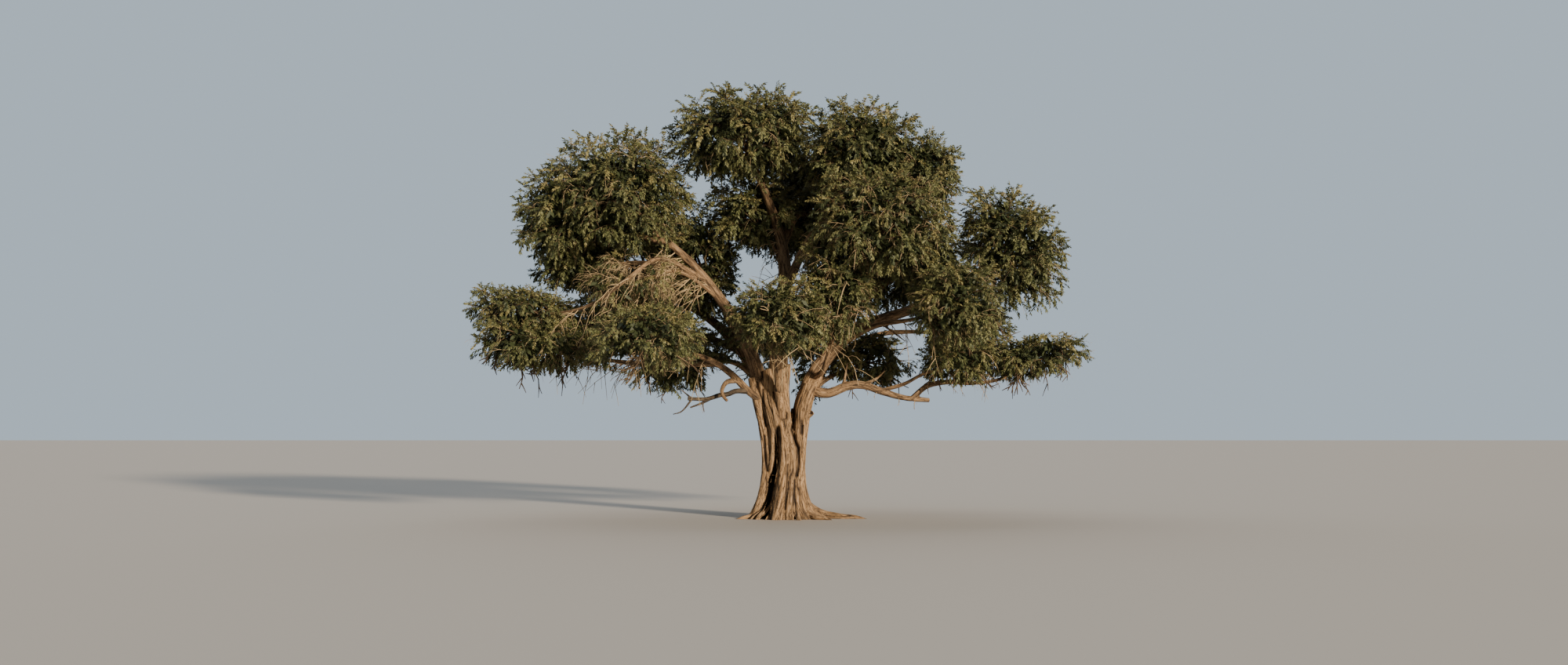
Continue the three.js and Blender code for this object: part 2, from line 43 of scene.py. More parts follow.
# Each stem is the foot of a limb, so the limbs come first, the same as in the solids: what a limb grows on,
# how far along it, its radius at both ends in mm, and the places that it passes through.
# Its mass has a middle, three reaches and, where it slopes, its rise to the right in each metre. straw is the
# share of the mass's sprays that are bare.
LIMBS = {
    "upper_left": dict(on=None, girth=(225, 40), through=[
        (-0.22, -0.02, 0), (-0.19, -0.02, 0.93), (-0.36, 0, 2.16), (-0.66, 0, 3.25), (-1.13, -0.05, 4.1),
        (-1.6, -0.1, 4.75), (-2.1, -0.15, 5.25)], mass=((-3.25, -0.2, 6.35), (1.5, 1.9, 1.3)), straw=0.12),
    "top_centre": dict(on=None, girth=(285, 50), through=[
        (-0.02, 0, 0), (-0.04, 0, 0.93), (-0.12, 0, 2.6), (-0.08, 0.05, 3.55), (0.02, 0.2, 4.75),
        (-0.1, 0.5, 5.7)], mass=((-0.78, 0, 7.6), (1.6, 1.9, 0.92), 0.06), straw=0.05),
    "right_upper": dict(on=None, girth=(240, 36), through=[
        (0.22, 0, 0), (0.2, 0, 0.93), (0.35, 0, 2.16), (0.57, 0, 2.75), (0.88, 0, 3.2), (1.4, 0.03, 3.7),
        (1.95, 0.12, 3.92), (2.6, 0.3, 4.15)],
        mass=((4.58, 0.2, 5.37), (1.06, 1.55, 1.26), -0.35), straw=0.08),
    "front_low": dict(on=None, girth=(190, 32), through=[
        (0.02, -0.2, 0), (0, -0.2, 0.93), (-0.04, -0.22, 1.9), (-0.1, -0.5, 2.65), (-0.1, -1.05, 3.2)],
        mass=((-0.05, -1.8, 3.88), (1.05, 1.1, 0.76)), straw=0.15),
    "back_left": dict(on=None, girth=(220, 42), through=[
        (-0.14, 0.2, 0), (-0.12, 0.2, 0.93), (-0.22, 0.27, 2.1), (-0.7, 0.9, 3.1), (-1.5, 1.8, 4)],
        mass=((-3, 3.1, 5.2), (1.7, 1.7, 1.5)), straw=0.05),
    "back_right": dict(on=None, girth=(220, 42), through=[
        (0.16, 0.22, 0), (0.16, 0.22, 0.93), (0.36, 0.32, 2.15), (0.82, 0.95, 3.1), (1.3, 1.8, 4.1)],
        mass=((2.6, 3.1, 5.4), (1.7, 1.7, 1.15)), straw=0.05),
    "left_low": dict(on="upper_left", at=0.34, girth=(84, 30), through=[
        (-0.72, -0.22, 2.5), (-0.92, -0.35, 2.71), (-1.12, -0.5, 2.88), (-1.5, -1.1, 3.08)],
        mass=((-2.5, -2.4, 3.4), (1.08, 1.35, 0.64)), straw=0.14),
    "left_low_outer": dict(on="left_low", at=0.4, girth=(60, 26), through=[
        (-2, -0.75, 2.98), (-3, -0.6, 3.02), (-3.8, -0.5, 3.12)],
        mass=((-4.8, -0.5, 3.38), (1.44, 1.4, 0.53), -0.08), straw=0.16),
    "left_outer": dict(on="upper_left", at=0.7, girth=(70, 30), through=[
        (-2.7, 0.4, 5.05), (-3.2, 0.6, 5.08)], mass=((-4.1, 0.8, 5.12), (1.1, 1.35, 0.66)), straw=0.05),
    "left_tip": dict(on="upper_left", at=0.7, girth=(54, 24), through=[
        (-2.4, -0.85, 5), (-2.95, -1.45, 4.55), (-3.7, -1.1, 4.08)],
        mass=((-5.12, 0, 4.05), (1.2, 1.4, 0.54), -0.12), straw=0.12),
    "left_hanging": dict(on="upper_left", at=0.64, girth=(46, 20), through=[(-2.1, -0.45, 4.8)],
        mass=((-2.95, -0.8, 4.6), (1.12, 0.8, 0.6)), straw=0.7),
    "centre_left": dict(on="back_left", at=0.5, girth=(85, 30), through=[(-1.25, 1.35, 4.2)],
        mass=((-1.72, 1.4, 5.3), (0.84, 1.2, 1.24)), straw=0.05),
    "low_centre_left": dict(on="back_left", at=0.4, girth=(75, 26), through=[(-1.05, 0.95, 3.1)],
        mass=((-2.25, 0.9, 3.2), (1.15, 1.1, 0.72)), straw=0.08),
    "back_low_left": dict(on="back_left", at=0.55, girth=(85, 30), through=[(-2, 1.95, 3.75)],
        mass=((-3.6, 2.5, 3.85), (1.4, 1.6, 0.85)), straw=0.05),
    "back_low": dict(on="back_left", at=0.45, girth=(80, 28), through=[(-0.7, 2, 3.65), (-0.3, 2.9, 3.85)],
        mass=((0, 3.9, 3.95), (1.6, 1.25, 0.68)), straw=0.05),
    "low_centre_right": dict(on="back_right", at=0.39, girth=(70, 26), through=[(0.95, 0.75, 2.8)],
        mass=((1.75, 0.95, 3.2), (1.02, 1.1, 0.58)), straw=0.08),
    "back_low_right": dict(on="back_right", at=0.5, girth=(80, 28), through=[
        (1.9, 1.9, 3.7), (2.8, 2.2, 3.8)], mass=((3.95, 2.5, 3.85), (0.95, 1.5, 0.82)), straw=0.05),
    "back_top": dict(on="top_centre", at=0.72, girth=(90, 34), through=[(0.25, 1.1, 6.1)],
        mass=((0.75, 2.5, 6.6), (1.5, 1.65, 1.6)), straw=0.03),
    "top_right": dict(on="top_centre", at=0.6, girth=(100, 38), through=[(0.5, 0, 5.5), (1, -0.1, 6.25)],
        mass=((1.5, -0.1, 7.22), (1.26, 1.9, 1.03)), straw=0.05),
    "centre_right": dict(on="right_upper", at=0.42, girth=(85, 34), through=[
        (1.15, -0.5, 3.95), (1.4, -0.9, 4.6)], mass=((1.85, -1.5, 5.7), (1.42, 1.4, 1.12)), straw=0.18),
    "right_middle": dict(on="right_upper", at=0.49, girth=(66, 26), through=[
        (1.76, -0.6, 3.72), (2.4, -1.2, 3.8)], mass=((3.2, -1.7, 4.15), (0.9, 1.3, 0.92)), straw=0.16),
    "right_low": dict(on="right_upper", at=0.362, girth=(112, 44), through=[
        (0.85, -0.1, 2.44), (1.22, -0.16, 2.57), (1.5, -0.18, 2.6), (1.95, -0.17, 2.46), (2.35, -0.16, 2.35),
        (2.85, -0.15, 2.3)]),
    "right_low_outer": dict(on="right_low", at=0.86, girth=(60, 26), through=[
        (2.79, -0.1, 2.57), (3.2, -0.08, 2.66), (3.7, -0.05, 2.64), (4.25, 0, 2.72)],
        mass=((4.96, 0, 3.2), (1.14, 1.25, 0.44), 0.16), straw=0.14),
    "dead": dict(on="left_low", at=0.125, girth=(58, 34), through=[
        (-0.95, -0.38, 2.47), (-1.09, -0.42, 2.41), (-1.22, -0.45, 2.4), (-1.48, -0.5, 2.32),
        (-1.86, -0.56, 2.32)]),
    "upper_left_outer": dict(on="upper_left", at=0.82, girth=(58, 28), through=[(-3.4, -0.3, 5.7)],
        mass=((-4.38, -0.15, 6.02), (0.92, 1.5, 1.08), 0.25), straw=0.1),
    "centre": dict(on="top_centre", at=0.64, girth=(75, 30), through=[(-0.2, 0.7, 5.45)],
        mass=((-0.6, 1.0, 6.18), (1.04, 1.25, 0.84)), straw=0.05),
    "centre_front": dict(on="right_upper", at=0.39, girth=(62, 26), through=[(0.78, -0.5, 2.92)],
        mass=((0.98, -1.2, 4.42), (0.82, 0.85, 1.26)), straw=0.2),
    "top_right_outer": dict(on="top_right", at=0.72, girth=(62, 28), through=[(2.1, 0, 6.5)],
        mass=((2.72, 0, 6.78), (0.84, 1.5, 0.88)), straw=0.06),
    "right_low_middle": dict(on="right_low", at=0.6, girth=(46, 22), through=[
        (2.35, -0.35, 2.62), (2.7, -0.45, 2.8)], mass=((3.42, -0.45, 3.08), (0.85, 1.05, 0.46)), straw=0.14),
}
BELOW_GROUND = 0.3
STEPS = 80


def eased_course(places, steps=24):
    """A smooth line through a few places, which doesn't overshoot where they are close together."""
    places = np.array(places, float)
    ends = np.vstack([2 * places[0] - places[1], places, 2 * places[-1] - places[-2]])
    share = np.linspace(0, 1, steps, endpoint=False)[:, None]
    line = []
    for a, b, c, d in zip(ends, ends[1:], ends[2:], ends[3:]):
        before, here, after = (math.sqrt(np.linalg.norm(far - near))
                               for near, far in ((a, b), (b, c), (c, d)))
        leave = ((b - a) / before - (c - a) / (before + here) + (c - b) / here) * here
        meet = ((c - b) / here - (d - b) / (here + after) + (d - c) / after) * here
        line.append(b + leave * share + (3 * (c - b) - 2 * leave - meet) * share**2
                    + (2 * (b - c) + leave + meet) * share**3)
    return np.vstack([*line, places[-1:]])


def units(rows):
    """Vectors, one to a row, each brought to a length of 1."""
    return rows / np.linalg.norm(rows, axis=1, keepdims=True)


class Limb:
    """A limb's course in even steps, with its girth and its distance along at each step."""

    def __init__(self, name, places, girth):
        line = eased_course(places)
        travelled = np.concatenate([[0], np.cumsum(np.linalg.norm(np.diff(line, axis=0), axis=1))])
        self.name, self.length = name, travelled[-1]
        self.travel = np.linspace(0, self.length, STEPS + 1)
        self.spots = np.column_stack([np.interp(self.travel, travelled, line[:, i]) for i in range(3)])
        self.girths = np.interp(self.travel, [0, self.length], girth)
        self.along = units(np.gradient(self.spots, axis=0))
        chord = self.spots[-1] - self.spots[0] + (1e-6, 0, 0)
        self.side = units(np.cross(self.along, (-chord[1], chord[0], 0)))
        self.lift = np.cross(self.side, self.along)

    def spot(self, share):
        return np.array([np.interp(share * self.length, self.travel, self.spots[:, i]) for i in range(3)])

    def girth(self, share):
        return float(np.interp(share * self.length, self.travel, self.girths))


# A limb that carries a mass runs on into it, to a fifth of its upward reach below its middle.
limbs = {}
for name, data in LIMBS.items():
    parent = limbs.get(data["on"])
    first = parent.spot(data["at"]) if parent else (*data["through"][0][:2], -BELOW_GROUND)
    places = [first, *data["through"]]
    if "mass" in data:
        middle, reach = data["mass"][:2]
        places.append((middle[0], middle[1], middle[2] - 0.2 * reach[2]))
    limbs[name] = Limb(name, places, [g / 1000 for g in data["girth"]])


# The stems: the share of each main limb that is in the trunk.
STEM_TOPS = {"upper_left": 0.4, "top_centre": 0.46, "right_upper": 0.42, "front_low": 0.6,
             "back_left": 0.42, "back_right": 0.42}
# Strands of wood that stand out on the front of the trunk: their places, and their radius at both ends in mm.
STRANDS = [
    ([(-0.66, -0.16, -0.1), (-0.5, -0.15, 0.22), (-0.385, -0.13, 0.6), (-0.33, -0.12, 1.1),
      (-0.39, -0.1, 1.7), (-0.5, -0.07, 2.2), (-0.62, -0.05, 2.75)], (105, 95)),
    ([(-0.36, -0.14, 0.6), (-0.26, -0.22, 0.95), (-0.215, -0.25, 1.35), (-0.235, -0.24, 1.75),
      (-0.33, -0.19, 2.2), (-0.47, -0.13, 2.7)], (40, 80)),
    ([(-0.18, -0.58, -0.1), (-0.12, -0.45, 0.2), (-0.05, -0.35, 0.6), (0, -0.31, 1.05), (-0.04, -0.28, 1.5),
      (-0.13, -0.23, 1.95), (-0.24, -0.18, 2.4), (-0.3, -0.14, 2.9)], (150, 120)),
    ([(0.1, -0.58, -0.1), (0.09, -0.44, 0.2), (0.12, -0.33, 0.6), (0.13, -0.3, 1.05), (0.09, -0.28, 1.5),
      (0.03, -0.24, 2.0), (-0.01, -0.2, 2.5), (0, -0.14, 3)], (110, 120)),
    ([(0.42, -0.46, -0.1), (0.3, -0.36, 0.2), (0.25, -0.27, 0.6), (0.27, -0.22, 1.2), (0.33, -0.2, 1.75),
      (0.37, -0.18, 2.15), (0.52, -0.13, 2.6)], (105, 135)),
    ([(0.66, -0.16, -0.1), (0.46, -0.12, 0.2), (0.34, -0.08, 0.6), (0.32, -0.05, 1.2), (0.38, -0.04, 1.8),
      (0.47, -0.03, 2.3), (0.66, -0.03, 2.8)], (100, 110)),
]
# Strands on the back, ribs of the root flare and long surface roots all run out from the middle at a bearing.
# Their courses are given as share of the reach, turn in radians, and height.
BACK_STRANDS = 7
BACK_STRAND = ((0.72, 0, -0.1), (0.5, 0.02, 0.22), (0.35, 0.06, 0.6), (0.31, 0.15, 1.2),
               (0.36, 0.25, 1.8), (0.4, 0.3, 2.15))
ROOT_RIBS = 21
ROOT_RIB = ((0.4, 0.2, 1), (0.5, 0.1, 0.5), (0.66, 0.03, 0.2), (0.84, 0, 0.07), (1.02, 0, -0.1))
SURFACE_ROOT = ((0.2, 0, 0.34), (0.35, 0.02, 0.17), (0.5, 0.04, 0.08), (0.68, -0.03, 0.045),
                (0.85, 0.03, 0.02), (1, 0, -0.04))
# The surface roots: reach, bearing in degrees, and radius at the trunk. The longest one runs to the right.
SURFACE_ROOTS = ((1.65, -8, 0.105), (1.18, -38, 0.08), (1.0, 200, 0.07), (0.95, 120, 0.07))


def limb_tube(spots, girths, sides):
    """A closed tube along a limb, drawn as a path with a round section and made a mesh."""
    bpy.ops.object.select_all(action="DESELECT")
    bpy.ops.curve.primitive_nurbs_path_add()
    path = bpy.context.object.data
    spline = path.splines[0]
    spline.type = "POLY"
    spline.points.add(len(spots) - len(spline.points))
    spline.points.foreach_set("co", np.column_stack([spots, np.ones(len(spots))]).ravel())
    spline.points.foreach_set("radius", girths)
    path.dimensions = "3D"
    path.bevel_depth = 1
    path.bevel_resolution = sides // 2 - 2
    path.use_fill_caps = True
    bpy.ops.object.convert(target="MESH")
    return bpy.context.object


def grown_together(name, tubes, grain, smooth_rounds):
    """Joins tubes as one skin, whose faces are about one grain across."""
    bpy.ops.object.select_all(action="DESELECT")
    for tube in tubes:
        tube.select_set(True)
    bpy.context.view_layer.objects.active = tubes[0]
    bpy.ops.object.join()
    piece = bpy.context.object
    piece.name = piece.data.name = name
    skin = piece.modifiers.new("skin", "REMESH")
    skin.mode = "VOXEL"
    skin.voxel_size = grain
    bpy.ops.object.modifier_apply(modifier=skin.name)
    smooth = piece.modifiers.new("smooth", "SMOOTH")
    smooth.factor = 0.5
    smooth.iterations = smooth_rounds
    bpy.ops.object.modifier_apply(modifier=smooth.name)
    return piece


def corners_and_normals(piece):
    corners, normals = np.empty((2, 3 * len(piece.data.vertices)), np.float32)
    piece.data.vertices.foreach_get("co", corners)
    piece.data.vertex_normals.foreach_get("vector", normals)
    return corners.reshape(-1, 3), normals.reshape(-1, 3)


# The marks of each course are moved along from the last one's, so that neighbours don't match.
COURSE_SHIFT = 7.3


def bark_grain(points, courses):
    """Places on the bark of the nearest course: round it, and along it. Also the girth there."""
    spots = np.vstack([c.spots for c in courses])
    girths = np.concatenate([c.girths for c in courses])
    side, lift, along = (np.vstack([getattr(c, key) for c in courses]) for key in ("side", "lift", "along"))
    travel = np.concatenate([c.travel + COURSE_SHIFT * i for i, c in enumerate(courses)])
    nearest = np.empty(len(points), int)
    for start in range(0, len(points), 4000):
        part = points[start:start + 4000]
        squared = (part**2).sum(1)[:, None] + (spots**2).sum(1) - 2 * part @ spots.T
        nearest[start:start + 4000] = (np.sqrt(np.maximum(squared, 0)) - girths).argmin(1)
    out = points - spots[nearest]
    x, y = (out * side[nearest]).sum(1), (out * lift[nearest]).sum(1)
    distance = np.hypot(x, y) + 1e-6
    girth = girths[nearest]
    travel = travel[nearest] + (out * along[nearest]).sum(1)
    return np.column_stack([x / distance * girth, y / distance * girth, travel]), girth


# How sharply a furrow rises to its plates, and how long the soft swellings are round a limb and along it.
FURROW_EDGE = 3.2
SWELL = (0.17, 0.17, 0.8)


def ridges(grain, across, along, seed):
    """Bark plates between narrow furrows along the limb: 0 in a furrow, and towards 1 on a plate."""
    scaled = grain / (across, across, along) + seed
    return np.minimum(1, np.abs([noise.noise(place) for place in scaled.tolist()]) * FURROW_EDGE)


def add_relief(piece, courses, plate, furrow, fold):
    """Cuts furrows and soft folds into the bark, and keeps its relief and its grain for the finish."""
    points, normals = corners_and_normals(piece)
    grain, girth = bark_grain(points, courses)
    coarse = ridges(grain, plate, 9 * plate, 3.1)
    fine = ridges(grain, 0.45 * plate, 4 * plate, 11.7)
    swell = np.array([noise.noise(place) for place in (grain / SWELL + 23.4).tolist()])
    depth = furrow * np.clip(girth / 0.16, 0.35, 1)
    relief = 0.7 * coarse**0.7 + 0.3 * fine
    points += normals * (depth * (relief - 0.75) + fold * np.clip(girth / 0.2, 0, 1) * swell)[:, None]
    piece.data.vertices.foreach_set("co", points.ravel())
    piece.data.attributes.new("grain", "FLOAT_VECTOR", "POINT").data.foreach_set("vector", grain.ravel())
    piece.data.attributes.new("relief", "FLOAT", "POINT").data.foreach_set("value", relief)
    piece.data.update()


def linear(code):
    """An sRGB hex colour as the linear red, green and blue that a shader takes."""
    parts = [(code >> shift & 255) / 255 for shift in (16, 8, 0)]
    return (*(p / 12.92 if p <= 0.04045 else ((p + 0.055) / 1.055) ** 2.4 for p in parts), 1)


def add_node(material, kind, settings=(), links=()):
    """Adds a node. A setting is a property of the node or the value of an input, and a link feeds an input.
    An input goes by its name, or by its number where names repeat."""
    node = material.node_tree.nodes.new(kind)
    for name, value in dict(settings).items():
        if isinstance(name, int) or name in node.inputs:
            node.inputs[name].default_value = value
        else:
            setattr(node, name, value)
    for name, source in dict(links).items():
        material.node_tree.links.new(source, node.inputs[name])
    return node


def new_finish(name, roughness, color=None):
    """A finish with its shader. A plain one has one colour."""
    finish = bpy.data.materials.new(name)
    finish.use_nodes = True
    shader = finish.node_tree.nodes["Principled BSDF"]
    shader.inputs["Roughness"].default_value = roughness
    shader.inputs["IOR"].default_value = 1.45
    if color is not None:
        shader.inputs["Base Color"].default_value = linear(color)
        finish.diffuse_color = linear(color)
    return finish, shader


# Marks on the bark: their scale round the limb and along it, detail and roughness. A mark is half as wide as
# its scale, so streaks are 12 by 120 mm, patches 150 by 450 mm, and cracks about 22 mm apart.
BARK_MARKS = {"streak": (0.024, 0.24, 5.0, 0.62), "patch": (0.3, 0.9, 2.0, 0.5),
              "crack": (0.045, 0.3, 3.0, 0.55)}


def bark_finish(name, furrow, plate, worn):
    """Matt bark: dark furrows and cracks, plates streaked along the grain, and worn pale ridges."""
    finish, shader = new_finish(name, 0.9)
    grain = add_node(finish, "ShaderNodeAttribute", {"attribute_name": "grain"})
    relief = add_node(finish, "ShaderNodeAttribute", {"attribute_name": "relief"})
    marks = {}
    for mark, (across, along, detail, rough) in BARK_MARKS.items():
        stretched = add_node(finish, "ShaderNodeMapping", {"Scale": (1 / across, 1 / across, 1 / along)},
                             {"Vector": grain.outputs["Vector"]})
        noisy = add_node(finish, "ShaderNodeTexNoise", {"Scale": 1.0, "Detail": detail, "Roughness": rough},
                         {"Vector": stretched.outputs["Vector"]})
        marks[mark] = noisy.outputs["Fac"]
    surface = add_node(finish, "ShaderNodeValToRGB", {}, {"Fac": marks["streak"]})
    for stop, (position, color) in zip(surface.color_ramp.elements, ((0.36, plate), (0.66, worn))):
        stop.position, stop.color = position, linear(color)
    height = add_node(finish, "ShaderNodeMapRange", {"From Min": 0.12, "From Max": 0.72},
                      {"Value": relief.outputs["Fac"]})
    centred = add_node(finish, "ShaderNodeMath", {"operation": "SUBTRACT", 1: 0.5}, {0: marks["crack"]})
    apart = add_node(finish, "ShaderNodeMath", {"operation": "ABSOLUTE"}, {0: centred.outputs["Value"]})
    plates = add_node(finish, "ShaderNodeMapRange", {"From Min": 0.004, "From Max": 0.035, "To Min": 0.25},
                      {"Value": apart.outputs["Value"]})
    fissured = add_node(finish, "ShaderNodeMath", {"operation": "MULTIPLY"},
                        {0: height.outputs["Result"], 1: plates.outputs["Result"]})
    mixed = add_node(finish, "ShaderNodeMix", {"data_type": "RGBA", 6: linear(furrow)},
                     {"Factor": fissured.outputs["Value"], 7: surface.outputs["Color"]})
    shade = add_node(finish, "ShaderNodeMapRange",
                     {"From Min": 0.3, "From Max": 0.7, "To Min": 0.78, "To Max": 1.12},
                     {"Value": marks["patch"]})
    toned = add_node(finish, "ShaderNodeVectorMath", {"operation": "SCALE"},
                     {0: mixed.outputs[2], "Scale": shade.outputs["Result"]})
    finish.node_tree.links.new(toned.outputs["Vector"], shader.inputs["Base Color"])
    bump = add_node(finish, "ShaderNodeBump", {"Strength": 0.8, "Distance": 0.01},
                    {"Height": plates.outputs["Result"]})
    finish.node_tree.links.new(bump.outputs["Normal"], shader.inputs["Normal"])
    return finish


def dressed(piece, finish, nodes):
    """Gives a piece its finish, its body and the nodes that it stands for."""
    piece.data.materials.clear()
    piece.data.materials.append(finish)
    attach(piece, "root")
    if nodes:
        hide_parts(*nodes)


def run_out(profile, bearing, reach=1, rise=1):
    """Places on a strand or a root that leaves the middle of the trunk at a bearing."""
    return [(out * reach * math.cos(bearing + turn), out * reach * math.sin(bearing + turn), high * rise)
            for out, turn, high in profile]


stems = {name: Limb(name, limbs[name].spots[:int(STEPS * top) + 1:2],
                    (limbs[name].girths[0], limbs[name].girth(top))) for name, top in STEM_TOPS.items()}
strands = [Limb("strand", places, [g / 1000 for g in girth]) for places, girth in STRANDS]
for i in range(BACK_STRANDS):
    bearing = math.radians(20 + 140 * i / (BACK_STRANDS - 1))
    strands.append(Limb("strand", run_out(BACK_STRAND, bearing), (0.11, 0.06)))
roots = []
rib_random = np.random.default_rng(4)
for i in range(ROOT_RIBS):
    bearing = 2 * math.pi * (i + 0.6 * rib_random.random()) / ROOT_RIBS
    reach, rise = rib_random.uniform(0.62, 0.86), rib_random.uniform(0.45, 0.95)
    roots.append(Limb("root rib", run_out(ROOT_RIB, bearing, reach, rise), (0.07, 0.04)))
for reach, bearing, girth in SURFACE_ROOTS:
    roots.append(Limb("surface root", run_out(SURFACE_ROOT, math.radians(bearing), reach), (girth, 0.034)))
stub = Limb("broken stub", [(0.45, -0.06, 2.0), (0.52, -0.09, 2.03), (0.57, -0.11, 2.07)], (0.07, 0.04))
heart = Limb("heartwood", [(0, 0.03, -0.1), (0, 0.03, 1), (0, 0.03, 1.85)], (0.33, 0.22))
courses = [*stems.values(), *strands, *roots, stub]
tubes = [limb_tube(course.spots, course.girths, sides=16) for course in [heart, *courses]]
trunk = grown_together("trunk_bark", tubes, grain=0.0146, smooth_rounds=4)
add_relief(trunk, courses, plate=0.075, furrow=0.03, fold=0.02)

# Deep folds between the stems and old knot holes, as lines on the front of the trunk: the places that a line
# passes through, across and up, its depth and its half width.
FOLD_LINES = [
    ([(-0.128, 1.75), (-0.128, 1.13), (-0.206, 0.82), (-0.283, 0.41), (-0.4, 0.0)], 0.13, 0.045),
    ([(-0.2, 0.8), (-0.27, 0.4), (-0.36, 0.0)], 0.12, 0.08),
    ([(-0.39, 1.6), (-0.365, 1.13), (-0.33, 0.93)], 0.05, 0.03),
    ([(0.167, 2.3), (0.206, 1.96), (0.14, 1.72), (0.206, 1.54), (0.27, 1.34), (0.285, 1.08), (0.25, 0.83)],
     0.08, 0.032),
    ([(-0.2, 2.45), (-0.12, 2.15), (-0.05, 1.95)], 0.05, 0.022),
    ([(-0.42, 2.5), (-0.4, 2.15), (-0.36, 1.8)], 0.05, 0.025),
    ([(0.07, 1.05), (0.05, 0.6), (0.02, 0.2)], 0.04, 0.022),
    ([(0.2, 0.75), (0.2, 0.4), (0.24, 0.1)], 0.045, 0.022),
    ([(0.026, 2.03), (0.026, 1.97)], 0.09, 0.035),
    ([(0.335, 1.78), (0.33, 1.66)], 0.07, 0.045),
    ([(0.53, 2.07), (0.53, 2.05)], 0.06, 0.03),
]
points, normals = corners_and_normals(trunk)
relief = np.empty(len(points), np.float32)
trunk.data.attributes["relief"].data.foreach_get("value", relief)
facing = np.clip(-2 * normals[:, 1], 0, 1) * (points[:, 1] < 0.02)
for line, depth, width in FOLD_LINES:
    line = np.array(line)
    nearest = np.full(len(points), 9.0)
    for start, end in zip(line, line[1:]):
        step = end - start
        share = np.clip(((points[:, ::2] - start) @ step) / (step @ step), 0, 1)[:, None]
        nearest = np.minimum(nearest, np.linalg.norm(points[:, ::2] - start - share * step, axis=1))
    cut = facing * np.exp(-((nearest / width) ** 2))
    points[:, 1] += depth * cut
    # In the folds and knot holes the bark takes the dark furrow colour: partly furrow bark, partly painted
    # shade in these deep recesses.
    relief *= 1 - 0.85 * cut
trunk.data.vertices.foreach_set("co", points.ravel())
trunk.data.attributes["relief"].data.foreach_set("value", relief)
trunk.data.update()
bpy.ops.object.mode_set(mode="EDIT")
bpy.ops.mesh.select_all(action="SELECT")
bpy.ops.mesh.bisect(plane_co=(0, 0, 0), plane_no=(0, 0, 1), use_fill=True, clear_inner=True)
bpy.ops.object.mode_set(mode="OBJECT")
bpy.ops.object.shade_smooth()
# Old ghaf bark is dry and corky, so it is matt: nearly black in its furrows, and pale where it is worn.
old_bark = bark_finish("fissured ghaf bark", furrow=0x2E2013, plate=0x80623F, worn=0xC2A079)
dressed(trunk, old_bark, ["trunk"])


# The boughs: long tapering limbs that leave the trunk and divide. They have the trunk's bark, thinner and
# less deeply furrowed, and they grow out of the trunk and of each other with no joint.

# Bare spurs on some limbs: the limb, its share where the spur stands, its places, and its radius in mm.
SPURS = [
    ("left_low", 0.22, [(-1.13, -0.62, 2.62), (-1.2, -0.68, 2.43), (-1.09, -0.66, 2.27)], (60, 30)),
    ("right_low", 0.3, [(1.24, -0.2, 3.05)], (36, 16)),
    ("right_low", 0.45, [(1.8, -0.3, 2.72), (1.98, -0.32, 2.88)], (40, 14)),
    ("right_upper", 0.5, [(1.62, -0.1, 4.3)], (36, 16)),
    ("right_middle", 0.42, [(2.3, -1.1, 3.4)], (30, 12)),
    ("dead", 0.93, [(-1.99, -0.58, 2.5)], (24, 10)),
    ("dead", 0.93, [(-1.98, -0.6, 2.07), (-2.14, -0.62, 2.02)], (24, 10)),
    ("dead", 0.6, [(-1.58, -0.52, 2.24), (-1.81, -0.56, 2.15)], (30, 18)),
    ("dead", 0.64, [(-1.56, -0.52, 2.24), (-1.54, -0.54, 2.06)], (20, 10)),
]


def spur_tubes(names):
    """The bare spurs and forks that stand on some limbs, as tubes."""
    spurs = [Limb("spur", [limbs[on].spot(at), *places], [g / 1000 for g in girth])
             for on, at, places, girth in SPURS if on in names]
    return [limb_tube(spur.spots[::8], spur.girths[::8], 8) for spur in spurs]


# The boughs, leaves and shoots are each joined in a left and a right piece, parted just left of the trunk.
SIDES = ("left", "right")
PARTING = -0.3


def side_of(x):
    return "left" if x < PARTING else "right"


BOUGH_STEPS = 60
bough_limbs = [limb for name, limb in limbs.items() if name != "dead"]
# Young bark is smoother and thinner, so its furrows are paler. Its plates and worn ridges are darker than the
# trunk's: partly duller young bark, partly painted shade of the crown.
young_bark_with_painted_shade = bark_finish("young ghaf bark with painted shade", furrow=0x33261A, plate=0x74593D, worn=0xAB8D6A)
for side in SIDES:
    grown = [limb for limb in bough_limbs if side_of(limb.spots[-1][0]) == side]
    tubes = spur_tubes([limb.name for limb in grown])
    for limb in grown:
        start = 0.75 * STEM_TOPS[limb.name] if limb.name in STEM_TOPS else 0
        shares = np.linspace(start, 1, BOUGH_STEPS)
        spots, girths = (np.array([value(share) for share in shares]) for value in (limb.spot, limb.girth))
        if limb.name in STEM_TOPS:
            girths = girths * np.interp(np.linspace(0, 1, BOUGH_STEPS), [0, 0.16, 1], [0.8, 1, 1])
        tubes.append(limb_tube(spots, girths, sides=12))
    boughs = grown_together(f"bough_bark_{side}", tubes, grain=0.0172, smooth_rounds=2)
    add_relief(boughs, grown, plate=0.07, furrow=0.018, fold=0.014)
    bpy.ops.object.shade_smooth()
    # The boughs' darker bark is partly painted shade of the crown.
    dressed(boughs, young_bark_with_painted_shade, [f"bough_{limb.name}" for limb in grown])


# The dead bough: a bare forked limb low on the left. It is weathered wood that has lost its bark, still on
# the living limb that it grew from.
dead = limbs["dead"]
tubes = [limb_tube(dead.spots[::4], dead.girths[::4], sides=10), *spur_tubes(["dead"])]
dead_wood = grown_together("dead_bough_wood", tubes, grain=0.007, smooth_rounds=3)
add_relief(dead_wood, [dead], plate=0.03, furrow=0.008, fold=0.006)
bpy.ops.object.shade_smooth()
# Dead wood greys in the sun: dull, with dark checks along its grain. It is darker than the bark, which is
# painted shade.
# The dark plate and ridge colours here are painted shade.
weathered = bark_finish("weathered dead wood", furrow=0x1D1812, plate=0x443930, worn=0x75654F)
dressed(dead_wood, weathered, ["bough_dead"])


# The twigs: each mass has a stem that its limb runs on into. Twigs leave it on a golden spiral of ways,
# wherever the mass is open to the air, and each divides into side twigs, which carry the sprays. They are
# green wood under thin bark, and grow from the limbs and from each other.

